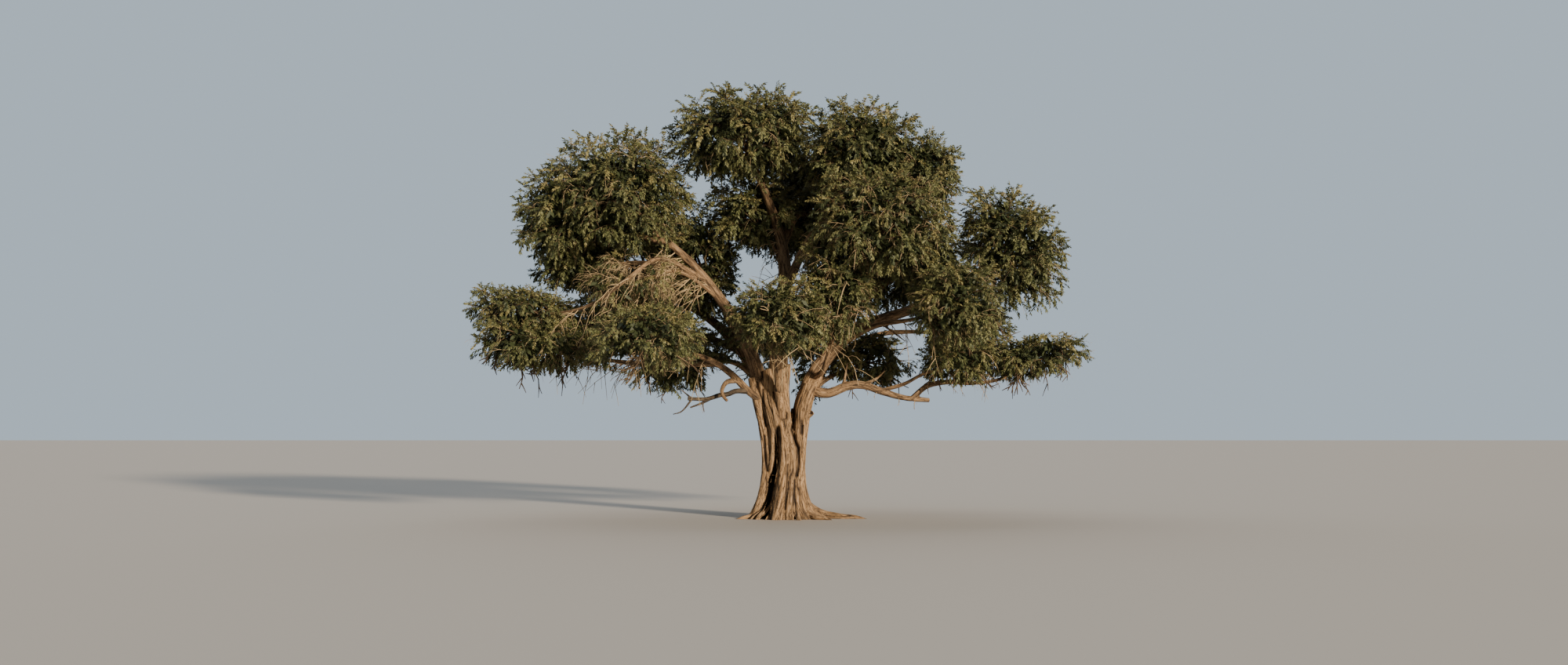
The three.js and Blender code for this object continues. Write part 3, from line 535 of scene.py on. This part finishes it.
# A depth is 0 at the middle of a mass and 1 on its bounds.
GOLDEN = math.pi * (3 - math.sqrt(5))
FULL_TURN = 6.3
SQUARENESS = 2.6
TWIGS_A_SQUARE_METRE = 1.35
LOBE_REACH = (0.3, 0.5)
SIDE_TWIGS = 7
SPRAYS_A_SIDE_TWIG = 6
TWIG_GIRTH = (0.02, 0.009)
SIDE_TWIG_GIRTH = (0.008, 0.004)
SIDE_TWIG_DROOP = 0.16
SPRAY_LENGTH = 0.25
ENTRY_DEPTH = 0.82
LEAST_OPEN = 0.42


def chance(seed, count):
    """A steady random share from 0 to 1, by the same rule as in the solids."""
    mixed = ((seed + 1) * 0x9E3779B1 ^ (count + 1) * 0x85EBCA77) & 0xFFFFFFFF
    mixed = (mixed ^ mixed >> 15) * 0x2C1B3C6D & 0xFFFFFFFF
    mixed = (mixed ^ mixed >> 12) * 0x297A2D39 & 0xFFFFFFFF
    return (mixed ^ mixed >> 15) / 2**32


masses = {name: data["mass"] for name, data in LIMBS.items() if "mass" in data}
middles, reaches = (np.array([mass[i] for mass in masses.values()], float) for i in (0, 1))
tilts = np.array([mass[2] if len(mass) > 2 else 0.0 for mass in masses.values()])


def depths(place):
    """The depth of a place in each mass, which is a little squarer than an ellipsoid."""
    away = place - middles
    away[:, 2] -= tilts * away[:, 0]
    return (np.abs(away / reaches) ** SQUARENESS).sum(axis=1) ** (1 / SQUARENESS)


def within(seed, way, share):
    """The place at a share of a mass's reach, along one way out of its middle."""
    away = share * way * reaches[seed]
    return middles[seed] + away + (0, 0, tilts[seed] * away[0])


def open_share(seed, way):
    """The share of a mass's reach, along one way out of its middle, that no other mass takes."""
    for share in np.arange(0.04, 1.2, 0.04):
        deep = depths(within(seed, way, share))
        own = deep[seed]
        deep[seed] = 9
        if own > 1 or deep.min() < own + 0.02:
            return share - 0.04
    return share


def unit(vector):
    return vector / (np.linalg.norm(vector) + 1e-9)


def turned(way, turn, lean):
    """A way that leans off another by an angle, turned round it by another."""
    aid = np.array((0, 0, 1.0)) if abs(way[2]) < 0.9 else np.array((1.0, 0, 0))
    across = unit(np.cross(way, aid))
    other = np.cross(way, across)
    return math.cos(lean) * way + math.sin(lean) * (math.cos(turn) * across + math.sin(turn) * other)


# A twig is its line, its radii along it, and its number of sides. A spray is its foot, its way, its size, its
# mass, the depth of its tip, a random share for its kind or tint, and the share of its mass that is bare.
twig_lines = []
sprays = []
DRAWN = np.random.default_rng(20)
for seed, name in enumerate(masses):
    limb, reach, straw = limbs[name], reaches[seed], LIMBS[name]["straw"]
    mean = float(np.cbrt(reach.prod()))
    inside = np.array([depths(spot)[seed] < ENTRY_DEPTH for spot in limb.spots])
    entry = limb.travel[inside.argmax()] / limb.length
    count = max(8, round(TWIGS_A_SQUARE_METRE * 4 * math.pi * mean**2))
    lobe = float(np.clip(0.36 * mean, *LOBE_REACH))
    for branch in range(count):
        height = 1 - 2 * (branch + 0.5) / count
        bearing = branch * GOLDEN + seed
        level = math.sqrt(1 - height * height)
        way = np.array((level * math.cos(bearing), level * math.sin(bearing), height))
        free = open_share(seed, way)
        if free < LEAST_OPEN:
            continue
        lobe_here = lobe * (0.75 + 0.5 * chance(seed, branch))
        deep = free * (0.84 + 0.16 * chance(seed, branch + 5 * count)) - 0.75 * lobe_here / mean
        root = limb.spot(entry + (1 - entry) * (0.15 + 0.85 * chance(seed, branch + count)))
        tip = within(seed, way, deep)
        out = unit(way / reach)
        bow = (root + tip) / 2 + (0, 0, 0.14 * np.linalg.norm(tip - root))
        share = np.linspace(0, 1, 6)[:, None]
        line = root * (1 - share) ** 2 + 2 * bow * share * (1 - share) + tip * share**2
        twig_lines.append((line, np.linspace(*TWIG_GIRTH, 6), 4))
        axis = unit(0.65 * out + 0.35 * unit(tip - root) + (0, 0, 0.08))
        for side in range(SIDE_TWIGS):
            at = 0.62 + 0.38 * side / (SIDE_TWIGS - 1)
            start = root * (1 - at) ** 2 + 2 * bow * at * (1 - at) + tip * at**2
            lean = math.radians(np.interp(side, [0, SIDE_TWIGS - 1], [95, 18]))
            heading = turned(axis, side * GOLDEN + FULL_TURN * chance(seed, branch + 3 * count), lean)
            heading = unit(heading * (1, 1, 0.6) + (0, 0, 0.06))
            length = lobe_here * DRAWN.uniform(0.75, 1.3)
            while length > 0.1 and depths(start + heading * (length + 0.4 * SPRAY_LENGTH))[seed] > 1.0:
                length -= 0.05
            if length < 0.12:
                continue
            share = np.linspace(0, 1, 4)[:, None]
            droop = np.array((0, 0, SIDE_TWIG_DROOP)) * length
            line = start + heading * length * share - droop * share**2
            twig_lines.append((line, np.linspace(*SIDE_TWIG_GIRTH, 4), 3))
            for i in range(SPRAYS_A_SIDE_TWIG):
                at = (i + 0.8) / (SPRAYS_A_SIDE_TWIG - 0.2)
                base = start + heading * length * at - droop * at**2
                lean = math.radians(20 if i == SPRAYS_A_SIDE_TWIG - 1 else DRAWN.uniform(40, 75))
                spray = turned(heading, i * GOLDEN * 1.1 + FULL_TURN * chance(seed, branch + side), lean)
                spray = unit(0.9 * spray + 0.35 * out - (0, 0, 0.12))
                size = DRAWN.uniform(0.75, 1.2)
                while size > 0.5 and depths(base + spray * size * 1.2 * SPRAY_LENGTH)[seed] > 1.04:
                    size -= 0.1
                tip_depth = depths(base + spray * size * SPRAY_LENGTH)[seed]
                sprays.append((base, spray, size, seed, tip_depth, DRAWN.random(), straw))

# Long bare twigs leave some limbs: the limb, its share where they start and end, how many there are, their
# length, and the way that they run before they droop.
BARE_TWIGS = [
    ("upper_left", 0.66, 0.84, 10, 1.0, (-0.9, -0.5, -0.15)),
    ("left_tip", 0.15, 0.9, 15, 0.62, (-0.5, -0.4, -0.45)),
    ("left_hanging", 0.1, 1, 15, 0.85, (-0.7, -0.35, -0.4)),
    ("left_outer", 0.1, 0.8, 8, 0.7, (-0.6, -0.7, -0.2)),
    ("left_low", 0.5, 1, 8, 0.9, (-0.5, -0.7, -0.1)),
    ("left_low_outer", 0.3, 0.85, 12, 0.75, (-0.5, -0.8, -0.15)),
    ("centre_right", 0.1, 0.9, 9, 1.4, (-0.3, -0.8, 0.35)),
    ("centre_front", 0.4, 1, 8, 1.2, (0.1, -0.8, 0.4)),
    ("front_low", 0.7, 1, 7, 1.3, (0.3, -0.9, 0.3)),
    ("top_right", 0.05, 0.6, 10, 1.0, (0.1, -0.7, -0.35)),
    ("top_centre", 0.6, 0.78, 8, 0.7, (-0.5, -0.6, 0.1)),
    ("right_middle", 0.3, 1, 7, 0.7, (0.4, -0.6, -0.3)),
    ("right_low", 0.45, 0.95, 4, 0.18, (0.2, -0.3, -0.7)),
    ("right_low_outer", 0.3, 0.95, 9, 0.32, (0.6, -0.4, -0.5)),
]
# Dark forked twigs hang under the lowest masses: the mass, and how many it has.
FRINGE = {"left_low_outer": 10, "left_low": 8, "low_centre_left": 5, "left_tip": 3, "right_low_outer": 9,
          "right_low_middle": 6, "low_centre_right": 4, "right_middle": 4}


def bare_twig(start, heading, length, girth, forks, droop):
    """A crooked twig and its forks, as lines with their girths. It starts inside what carries it."""
    share = np.linspace(0, 1, 6)[:, None]
    crook = np.cumsum(DRAWN.normal(0, 0.035, (6, 3)), axis=0) * length
    crook[0] = 0
    line = start + heading * length * share - np.array((0, 0, droop)) * length * share**2 + crook
    lines = [(line, np.linspace(girth, 0.35 * girth, 6), 3)]
    for fork in range(forks):
        at = 1 + fork % 4
        run = unit(line[at + 1] - line[at])
        way = turned(run, DRAWN.uniform(0, FULL_TURN), math.radians(DRAWN.uniform(25, 60)))
        reach = length * DRAWN.uniform(0.22, 0.5)
        share = np.linspace(0, 1, 4)[:, None]
        arm = line[at] + way * reach * share - np.array((0, 0, 0.8 * droop)) * reach * share**2
        lines.append((arm, np.linspace(0.65, 0.25, 4) * girth, 3))
    return lines


bare_lines = []
for name, start, end, count, length, heading in BARE_TWIGS:
    for i in range(count):
        spot = limbs[name].spot(start + (end - start) * (i + DRAWN.random()) / count)
        way = unit(np.array(heading) + DRAWN.normal(0, 0.28, 3))
        girth = 0.008 + 0.005 * length
        reach = length * DRAWN.uniform(0.6, 1.25)
        bare_lines += bare_twig(spot, way, reach, girth, forks=5, droop=DRAWN.uniform(0.1, 0.6))
# None stands out in front of the crown.
crown_front = (middles - reaches)[:, 1].min()
bare_lines = [bare for bare in bare_lines if bare[0][:, 1].min() > crown_front]
carriers = np.vstack([line for line, _, sides in twig_lines if sides == 4])
for seed, name in enumerate(masses):
    for _ in range(FRINGE.get(name, 0)):
        under = unit(np.array((DRAWN.uniform(-1, 1), DRAWN.uniform(-0.8, 0.4), -0.75)))
        under = within(seed, under, 0.8)
        start = carriers[np.linalg.norm(carriers - under, axis=1).argmin()]
        aside = np.array((DRAWN.uniform(-0.5, 0.5), -0.1, DRAWN.uniform(-0.7, -0.2)))
        heading = unit(under - start + aside)
        length = np.linalg.norm(under - start) + DRAWN.uniform(0.2, 0.35)
        girth = DRAWN.uniform(0.02, 0.029)
        twig_lines += bare_twig(start, heading, length, girth, forks=4, droop=DRAWN.uniform(-0.15, 0.2))

# Leafy twigs close the crown behind the fork: the limb, its share where they start and end, how many there
# are, their length, and the way that they lean.
FORK_SPRAYS = 7
FORK_SPRAY_DEPTH = 0.9
FORK_TWIGS = [
    ("back_left", 0.44, 0.74, 15, 0.5, (-0.25, -0.15, 0)),
    ("upper_left", 0.42, 0.55, 5, 0.4, (-0.6, 0.5, 0)),
    ("low_centre_left", 0.15, 0.5, 6, 0.36, (-0.1, 0, 0)),
    ("back_right", 0.42, 0.58, 14, 0.46, (-0.95, -0.1, -0.12)),
    ("top_centre", 0.44, 0.52, 6, 0.4, (0.2, 0.9, 0.1)),
]
for name, start, end, count, length, lean in FORK_TWIGS:
    limb, seed = limbs[name], list(masses).index(name)
    for i in range(count):
        at = start + (end - start) * (i + DRAWN.random()) / count
        spot = limb.spot(at)
        way = turned(unit(limb.spot(at + 0.02) - spot), i * GOLDEN, math.radians(65))
        way = unit(way + lean)
        reach = length * DRAWN.uniform(0.7, 1.2)
        share = np.linspace(0, 1, 4)[:, None]
        twig_lines.append((spot + way * reach * share, np.linspace(0.011, 0.005, 4), 3))
        for j in range(FORK_SPRAYS):
            base = spot + way * reach * (0.4 + 0.6 * j / (FORK_SPRAYS - 1))
            spray = turned(way, j * GOLDEN, math.radians(DRAWN.uniform(25, 70)))
            size = DRAWN.uniform(0.8, 1.1)
            sprays.append((base, unit(spray - (0, 0, 0.15)), size, seed, FORK_SPRAY_DEPTH, 1.0, 0.0))

# The sky shows through gaps in the crown, seen from an eye in front of it: the middle of a gap across and up,
# its half width and its half height, all at the trunk.
EYE_HEIGHT = 1.62
EYE_DISTANCE = 30
SKY_GAPS = [(-3.1, 3.15, 0.42, 0.2), (-2.95, 5.08, 0.34, 0.17), (-1.25, 2.8, 0.42, 0.24),
            (-1.62, 5.1, 0.2, 0.16), (2.4, 3.4, 0.22, 0.42), (-0.55, 4.8, 0.34, 0.2),
            (-4.25, 4.42, 0.3, 0.12), (-3.8, 2.95, 0.2, 0.1)]
STOUT = 0.05
STOUT_CLEARANCE = 0.1

limb_girths = np.concatenate([limb.girths for limb in bough_limbs])
bark_points = kdtree.KDTree(len(limb_girths))
for index, spot in enumerate(np.vstack([limb.spots for limb in bough_limbs])):
    bark_points.insert(spot, index)
bark_points.balance()


def has_room(spray):
    """Whether a spray is out of the gaps and off the bare limbs, and well clear of the stout ones."""
    place = spray[0] + spray[1] * 0.6 * spray[2] * SPRAY_LENGTH
    near = EYE_DISTANCE / (EYE_DISTANCE + place[1])
    for x, z, half_width, half_height in SKY_GAPS:
        across = (place[0] * near - x) / half_width
        up = (EYE_HEIGHT + (place[2] - EYE_HEIGHT) * near - z) / half_height
        if across * across + up * up < 0.5 + spray[5]:
            return False
    _, index, distance = bark_points.find(place)
    return distance > limb_girths[index] + (STOUT_CLEARANCE if limb_girths[index] > STOUT else 0)


sprays = [spray for spray in sprays if has_room(spray)]


def tube_mesh(line, girths, sides):
    """Corners and triangles of a tapering twig that is closed at both ends."""
    along = units(np.gradient(line, axis=0))
    aid = np.array((0.3, 0.2, 1.0)) if abs(along[0][2]) < 0.8 else np.array((1.0, 0.2, 0))
    across = units(np.cross(along, aid))
    other = np.cross(along, across)
    turn = 2 * math.pi * np.arange(sides) / sides
    ring = across[:, None] * np.cos(turn)[:, None] - other[:, None] * np.sin(turn)[:, None]
    corners = (line[:, None] + ring * girths[:, None, None]).reshape(-1, 3)
    i = np.arange(sides)
    j = (i + 1) % sides
    faces = []
    for row in range(len(line) - 1):
        a, b = row * sides, (row + 1) * sides
        faces += [np.column_stack([a + i, a + j, b + j]), np.column_stack([a + i, b + j, b + i])]
    last = (len(line) - 1) * sides
    fan = np.arange(1, sides - 1)
    faces += [np.column_stack([0 * fan, fan + 1, fan]),
              np.column_stack([last + 0 * fan, last + fan, last + fan + 1])]
    return corners, np.vstack(faces)


def pointed_twig(line, girth):
    """Corners and triangles of a thin shoot that runs out to a point, from a foot sunk in what carries it."""
    corners, faces = tube_mesh(line[:-1], np.linspace(girth, 0.4 * girth, len(line) - 1), 3)
    last = len(corners)
    tip = np.array([(last - 3, last - 2, last), (last - 2, last - 1, last), (last - 1, last - 3, last)])
    return np.vstack([corners, line[-1:]]), np.vstack([faces[:-2], tip])


def merged(parts):
    """The corners and triangles of many small meshes as one."""
    starts = np.cumsum([0] + [len(corners) for corners, _ in parts])
    return (np.vstack([corners for corners, _ in parts]),
            np.vstack([faces + start for (_, faces), start in zip(parts, starts)]))


def joined_mesh(name, parts):
    """One piece from many small meshes."""
    corners, faces = merged(parts)
    corners, faces = corners.astype(np.float32), faces.astype(np.int32)
    mesh = bpy.data.meshes.new(name)
    mesh.vertices.add(len(corners))
    mesh.vertices.foreach_set("co", corners.ravel())
    mesh.loops.add(faces.size)
    mesh.loops.foreach_set("vertex_index", faces.ravel())
    mesh.polygons.add(len(faces))
    mesh.polygons.foreach_set("loop_start", np.arange(0, faces.size, 3, dtype=np.int32))
    mesh.update(calc_edges=True)
    piece = bpy.data.objects.new(name, mesh)
    bpy.context.scene.collection.objects.link(piece)
    return piece


twigs = joined_mesh("twigs", [tube_mesh(*line) for line in twig_lines])
# Twig bark is thin and brown, and too fine to show any furrows.
brown_twig, _ = new_finish("brown twig bark", 0.85, 0x63503A)
dressed(twigs, brown_twig, [])


# The leaves: small grey-green leaflets in drooping feathery sprays. Each blade here stands for a leaf of
# several leaflets, and it is folded along its rib. The sprays stand on the side twigs.
LEAVES_A_SPRAY = 22
LEAF_LENGTH = 0.074
LEAF_WIDTH = 0.0325
PAINTED_LIGHT_TOP = 0.28
PATTERNS = 12
# Deep in a mass the blades are fewer and larger and all take the deep tint, which is painted shade, and near
# its bounds the bare sprays are shorter.
INNER_DEPTH = 0.66
INNER_LEAVES = 8
INNER_SIZE = 2.5
OUTER_DEPTH = 0.85
OUTER_BARE_SIZE = 0.7
# A leaf is thin and dusty, with a faint sheen. The sprays are dealt plain tints from deep olive to gold, each
# with its colour and its share. Those at the top of a mass get the paler tints more often and those low in it
# the darker ones: painted light and painted shade.
TINTS = {
    "leaves_deep": (0x383F22, 0.24),
    "leaves_olive": (0x5B5E37, 0.26),
    "leaves_dusty": (0x6C6C44, 0.24),
    "leaves_golden": (0x837B4D, 0.26),
}


def leafy_spray(random, leaves, size):
    """A shoot that runs up +Z and droops towards -Y, with leaves all round it: leaves, then the shoot."""
    at = np.linspace(0.06, 1, leaves)
    turn = GOLDEN * np.arange(leaves) + random.uniform(0, 6)
    droop, sway = random.uniform(0.1, 0.45), random.uniform(-0.2, 0.2)

    def shoot(share):
        return np.column_stack([sway * share**2, -droop * share**2, share]) * SPRAY_LENGTH

    base = shoot(at)
    lean = np.radians(random.uniform(35, 70, leaves))
    way = units(np.column_stack([np.sin(lean) * np.cos(turn) + 2 * sway * at,
                                 np.sin(lean) * np.sin(turn) - 2 * droop * at - 0.3, np.cos(lean)]))
    face = np.column_stack([random.normal(0, 0.5, leaves), 1 + 0 * at, random.normal(0, 0.5, leaves)])
    across = units(np.cross(way, face))
    through = np.cross(across, way)
    length = size * LEAF_LENGTH * random.uniform(0.8, 1.15, (leaves, 1))
    half = size * LEAF_WIDTH / 2 * random.uniform(0.8, 1.15, (leaves, 1))
    middle = base + 0.42 * length * way - 0.25 * half * through
    corners = np.stack([base, middle + half * across, base + length * way - 0.12 * length * through,
                        middle - half * across], axis=1).reshape(-1, 3)
    first = 4 * np.arange(leaves)[:, None]
    faces = np.vstack([first + (0, 1, 2), first + (0, 2, 3)])
    return (corners, faces), pointed_twig(shoot(np.linspace(0, 1, 3)), 0.0038)


def bare_spray(random):
    """A shoot that has lost its leaves, with a few thin side shoots: no leaves, then the shoots."""
    droop, sway = random.uniform(0.3, 0.7), random.uniform(-0.3, 0.3)
    share = np.linspace(0, 1, 4)[:, None]
    line = np.hstack([sway * share**2, -droop * share**2, share]) * 1.5 * SPRAY_LENGTH
    parts = [pointed_twig(line, 0.006)]
    for i, at in enumerate((0.34, 0.58, 0.8)):
        start = np.array((sway * at**2, -droop * at**2, at)) * 1.5 * SPRAY_LENGTH
        turn = random.uniform(0, FULL_TURN)
        way = np.array((0.7 * math.cos(turn), 0.7 * math.sin(turn) - 0.5, 0.75))
        way = way * SPRAY_LENGTH * (0.75 - 0.1 * i)
        share = np.linspace(0, 1, 3)[:, None]
        parts.append(pointed_twig(start + way * share - np.array((0, 0.06, 0)) * share**2, 0.004))
    return merged(parts)


def placed(pattern, spray, mirror, share=1):
    """A pattern's corners, carried to a spray's place at a share of its size. Its -Y side faces down."""
    base, way = spray[:2]
    size = share * spray[2]
    side = unit(np.cross(way, (0.001, 0, 1)))
    up = np.cross(side, way)
    basis = np.array([side * mirror, up, way]) * size
    corners, faces = pattern
    return corners @ basis + base, faces if mirror > 0 else faces[:, ::-1]


leaf_random = np.random.default_rng(8)
leafy = [leafy_spray(leaf_random, LEAVES_A_SPRAY, 1) for _ in range(PATTERNS)]
coarse = [leafy_spray(leaf_random, INNER_LEAVES, INNER_SIZE) for _ in range(PATTERNS)]
bare = [bare_spray(leaf_random) for _ in range(PATTERNS)]
heaps = {(kind, side): [] for kind in [*TINTS, "shoots", "straw_shoots"] for side in SIDES}
tint_ends = np.cumsum([share for _, share in TINTS.values()])
for number, spray in enumerate(sprays):
    seed, deep, drawn, straw = spray[3:]
    side = side_of(middles[seed][0])
    mirror = 1 if number % 2 else -1
    if drawn < straw:
        share = 1 if deep < OUTER_DEPTH else OUTER_BARE_SIZE
        heaps["straw_shoots", side].append(placed(bare[number % PATTERNS], spray, mirror, share))
        continue
    leaf, stem = (coarse if deep < INNER_DEPTH else leafy)[number % PATTERNS]
    # Sprays high in a mass are drawn toward the paler tints and low ones toward the darker: painted light and
    # painted shade.
    high = float(np.clip(0.5 + 0.5 * (spray[0][2] - middles[seed][2]) / reaches[seed][2], 0, 1))
    drawn = (1 - PAINTED_LIGHT_TOP) * leaf_random.random() + PAINTED_LIGHT_TOP * high
    tint = list(TINTS)[min(int(np.searchsorted(tint_ends, drawn)), len(TINTS) - 1)]
    # Sprays deep inside a mass take the deep tint: painted shade.
    heaps["leaves_deep" if deep < INNER_DEPTH else tint, side].append(placed(leaf, spray, mirror))
    heaps["shoots", side].append(placed(stem, spray, mirror))

FOLIAGE = [f"foliage_{name}" for name in masses]
for kind, (color, _) in TINTS.items():
    finish, _ = new_finish(kind.replace("leaves_", "ghaf leaf, "), 0.62, color)
    for side in SIDES:
        piece = joined_mesh(f"{kind}_{side}", heaps[kind, side])
        dressed(piece, finish, FOLIAGE if kind == "leaves_deep" else [])


# The shoots: the thin stems of the sprays, and the long bare twigs. Green ones carry leaves and are olive and
# soft, and bare ones have dried to a pale dull straw. They grow from the side twigs and the limbs.
for side in SIDES:
    heaps["straw_shoots", side] += [tube_mesh(*line) for line in bare_lines if side_of(line[0][0, 0]) == side]
for kind, look, color, slot in (("shoots", "olive shoot", 0x6A5A38, "foliage"),
                                ("straw_shoots", "straw coloured shoot", 0xB8A07A, "thin_foliage")):
    finish, _ = new_finish(look, 0.7, color)
    for side in SIDES:
        piece = joined_mesh(f"{kind}_{side}", heaps[kind, side])
        dressed(piece, finish, [])


# The studio: a plain pale matt floor under a warm soft light, low on the front right, with a weak cool one
# behind the tree. The camera has the photograph's view, from eye height 30 m away.
bpy.ops.object.select_all(action="DESELECT")
bpy.ops.mesh.primitive_plane_add(size=900, location=(0, 0, -0.002))
floor = bpy.context.object
floor.name = "studio_floor"
pale, _ = new_finish("plain pale floor", 0.9, 0xC9C0B4)
floor.data.materials.append(pale)

# Each light has its tilt, its turn and its spread in degrees, its strength and its colour.
for name, tilt, turn, spread, energy, color in (("key_light", 78, 35, 5, 6, (1.0, 0.86, 0.68)),
                                                ("soft_light_behind", 50, 200, 90, 1.1, (0.9, 0.95, 1.0))):
    bpy.ops.object.light_add(type="SUN", rotation=(math.radians(tilt), 0, math.radians(turn)))
    light = bpy.context.object
    light.name = name
    light.data.angle = math.radians(spread)
    light.data.energy = energy
    light.data.color = color

world = bpy.data.worlds.new("studio_light")
world.use_nodes = True
fill = world.node_tree.nodes["Background"]
fill.inputs["Color"].default_value = linear(0xB9CBDD)
fill.inputs["Strength"].default_value = 0.32
backdrop = add_node(world, "ShaderNodeBackground", {"Color": linear(0xC3D4E2), "Strength": 0.85})
seen = add_node(world, "ShaderNodeLightPath")
both = add_node(world, "ShaderNodeMixShader", {}, {"Fac": seen.outputs["Is Camera Ray"],
                                                   1: fill.outputs["Background"],
                                                   2: backdrop.outputs["Background"]})
world.node_tree.links.new(both.outputs["Shader"], world.node_tree.nodes["World Output"].inputs["Surface"])
bpy.context.scene.world = world

bpy.ops.object.camera_add(location=(0, -EYE_DISTANCE, EYE_HEIGHT), rotation=(math.radians(93.85), 0, 0))
camera = bpy.context.object
camera.data.lens = 35
camera.data.sensor_width = 36
bpy.context.scene.camera = camera
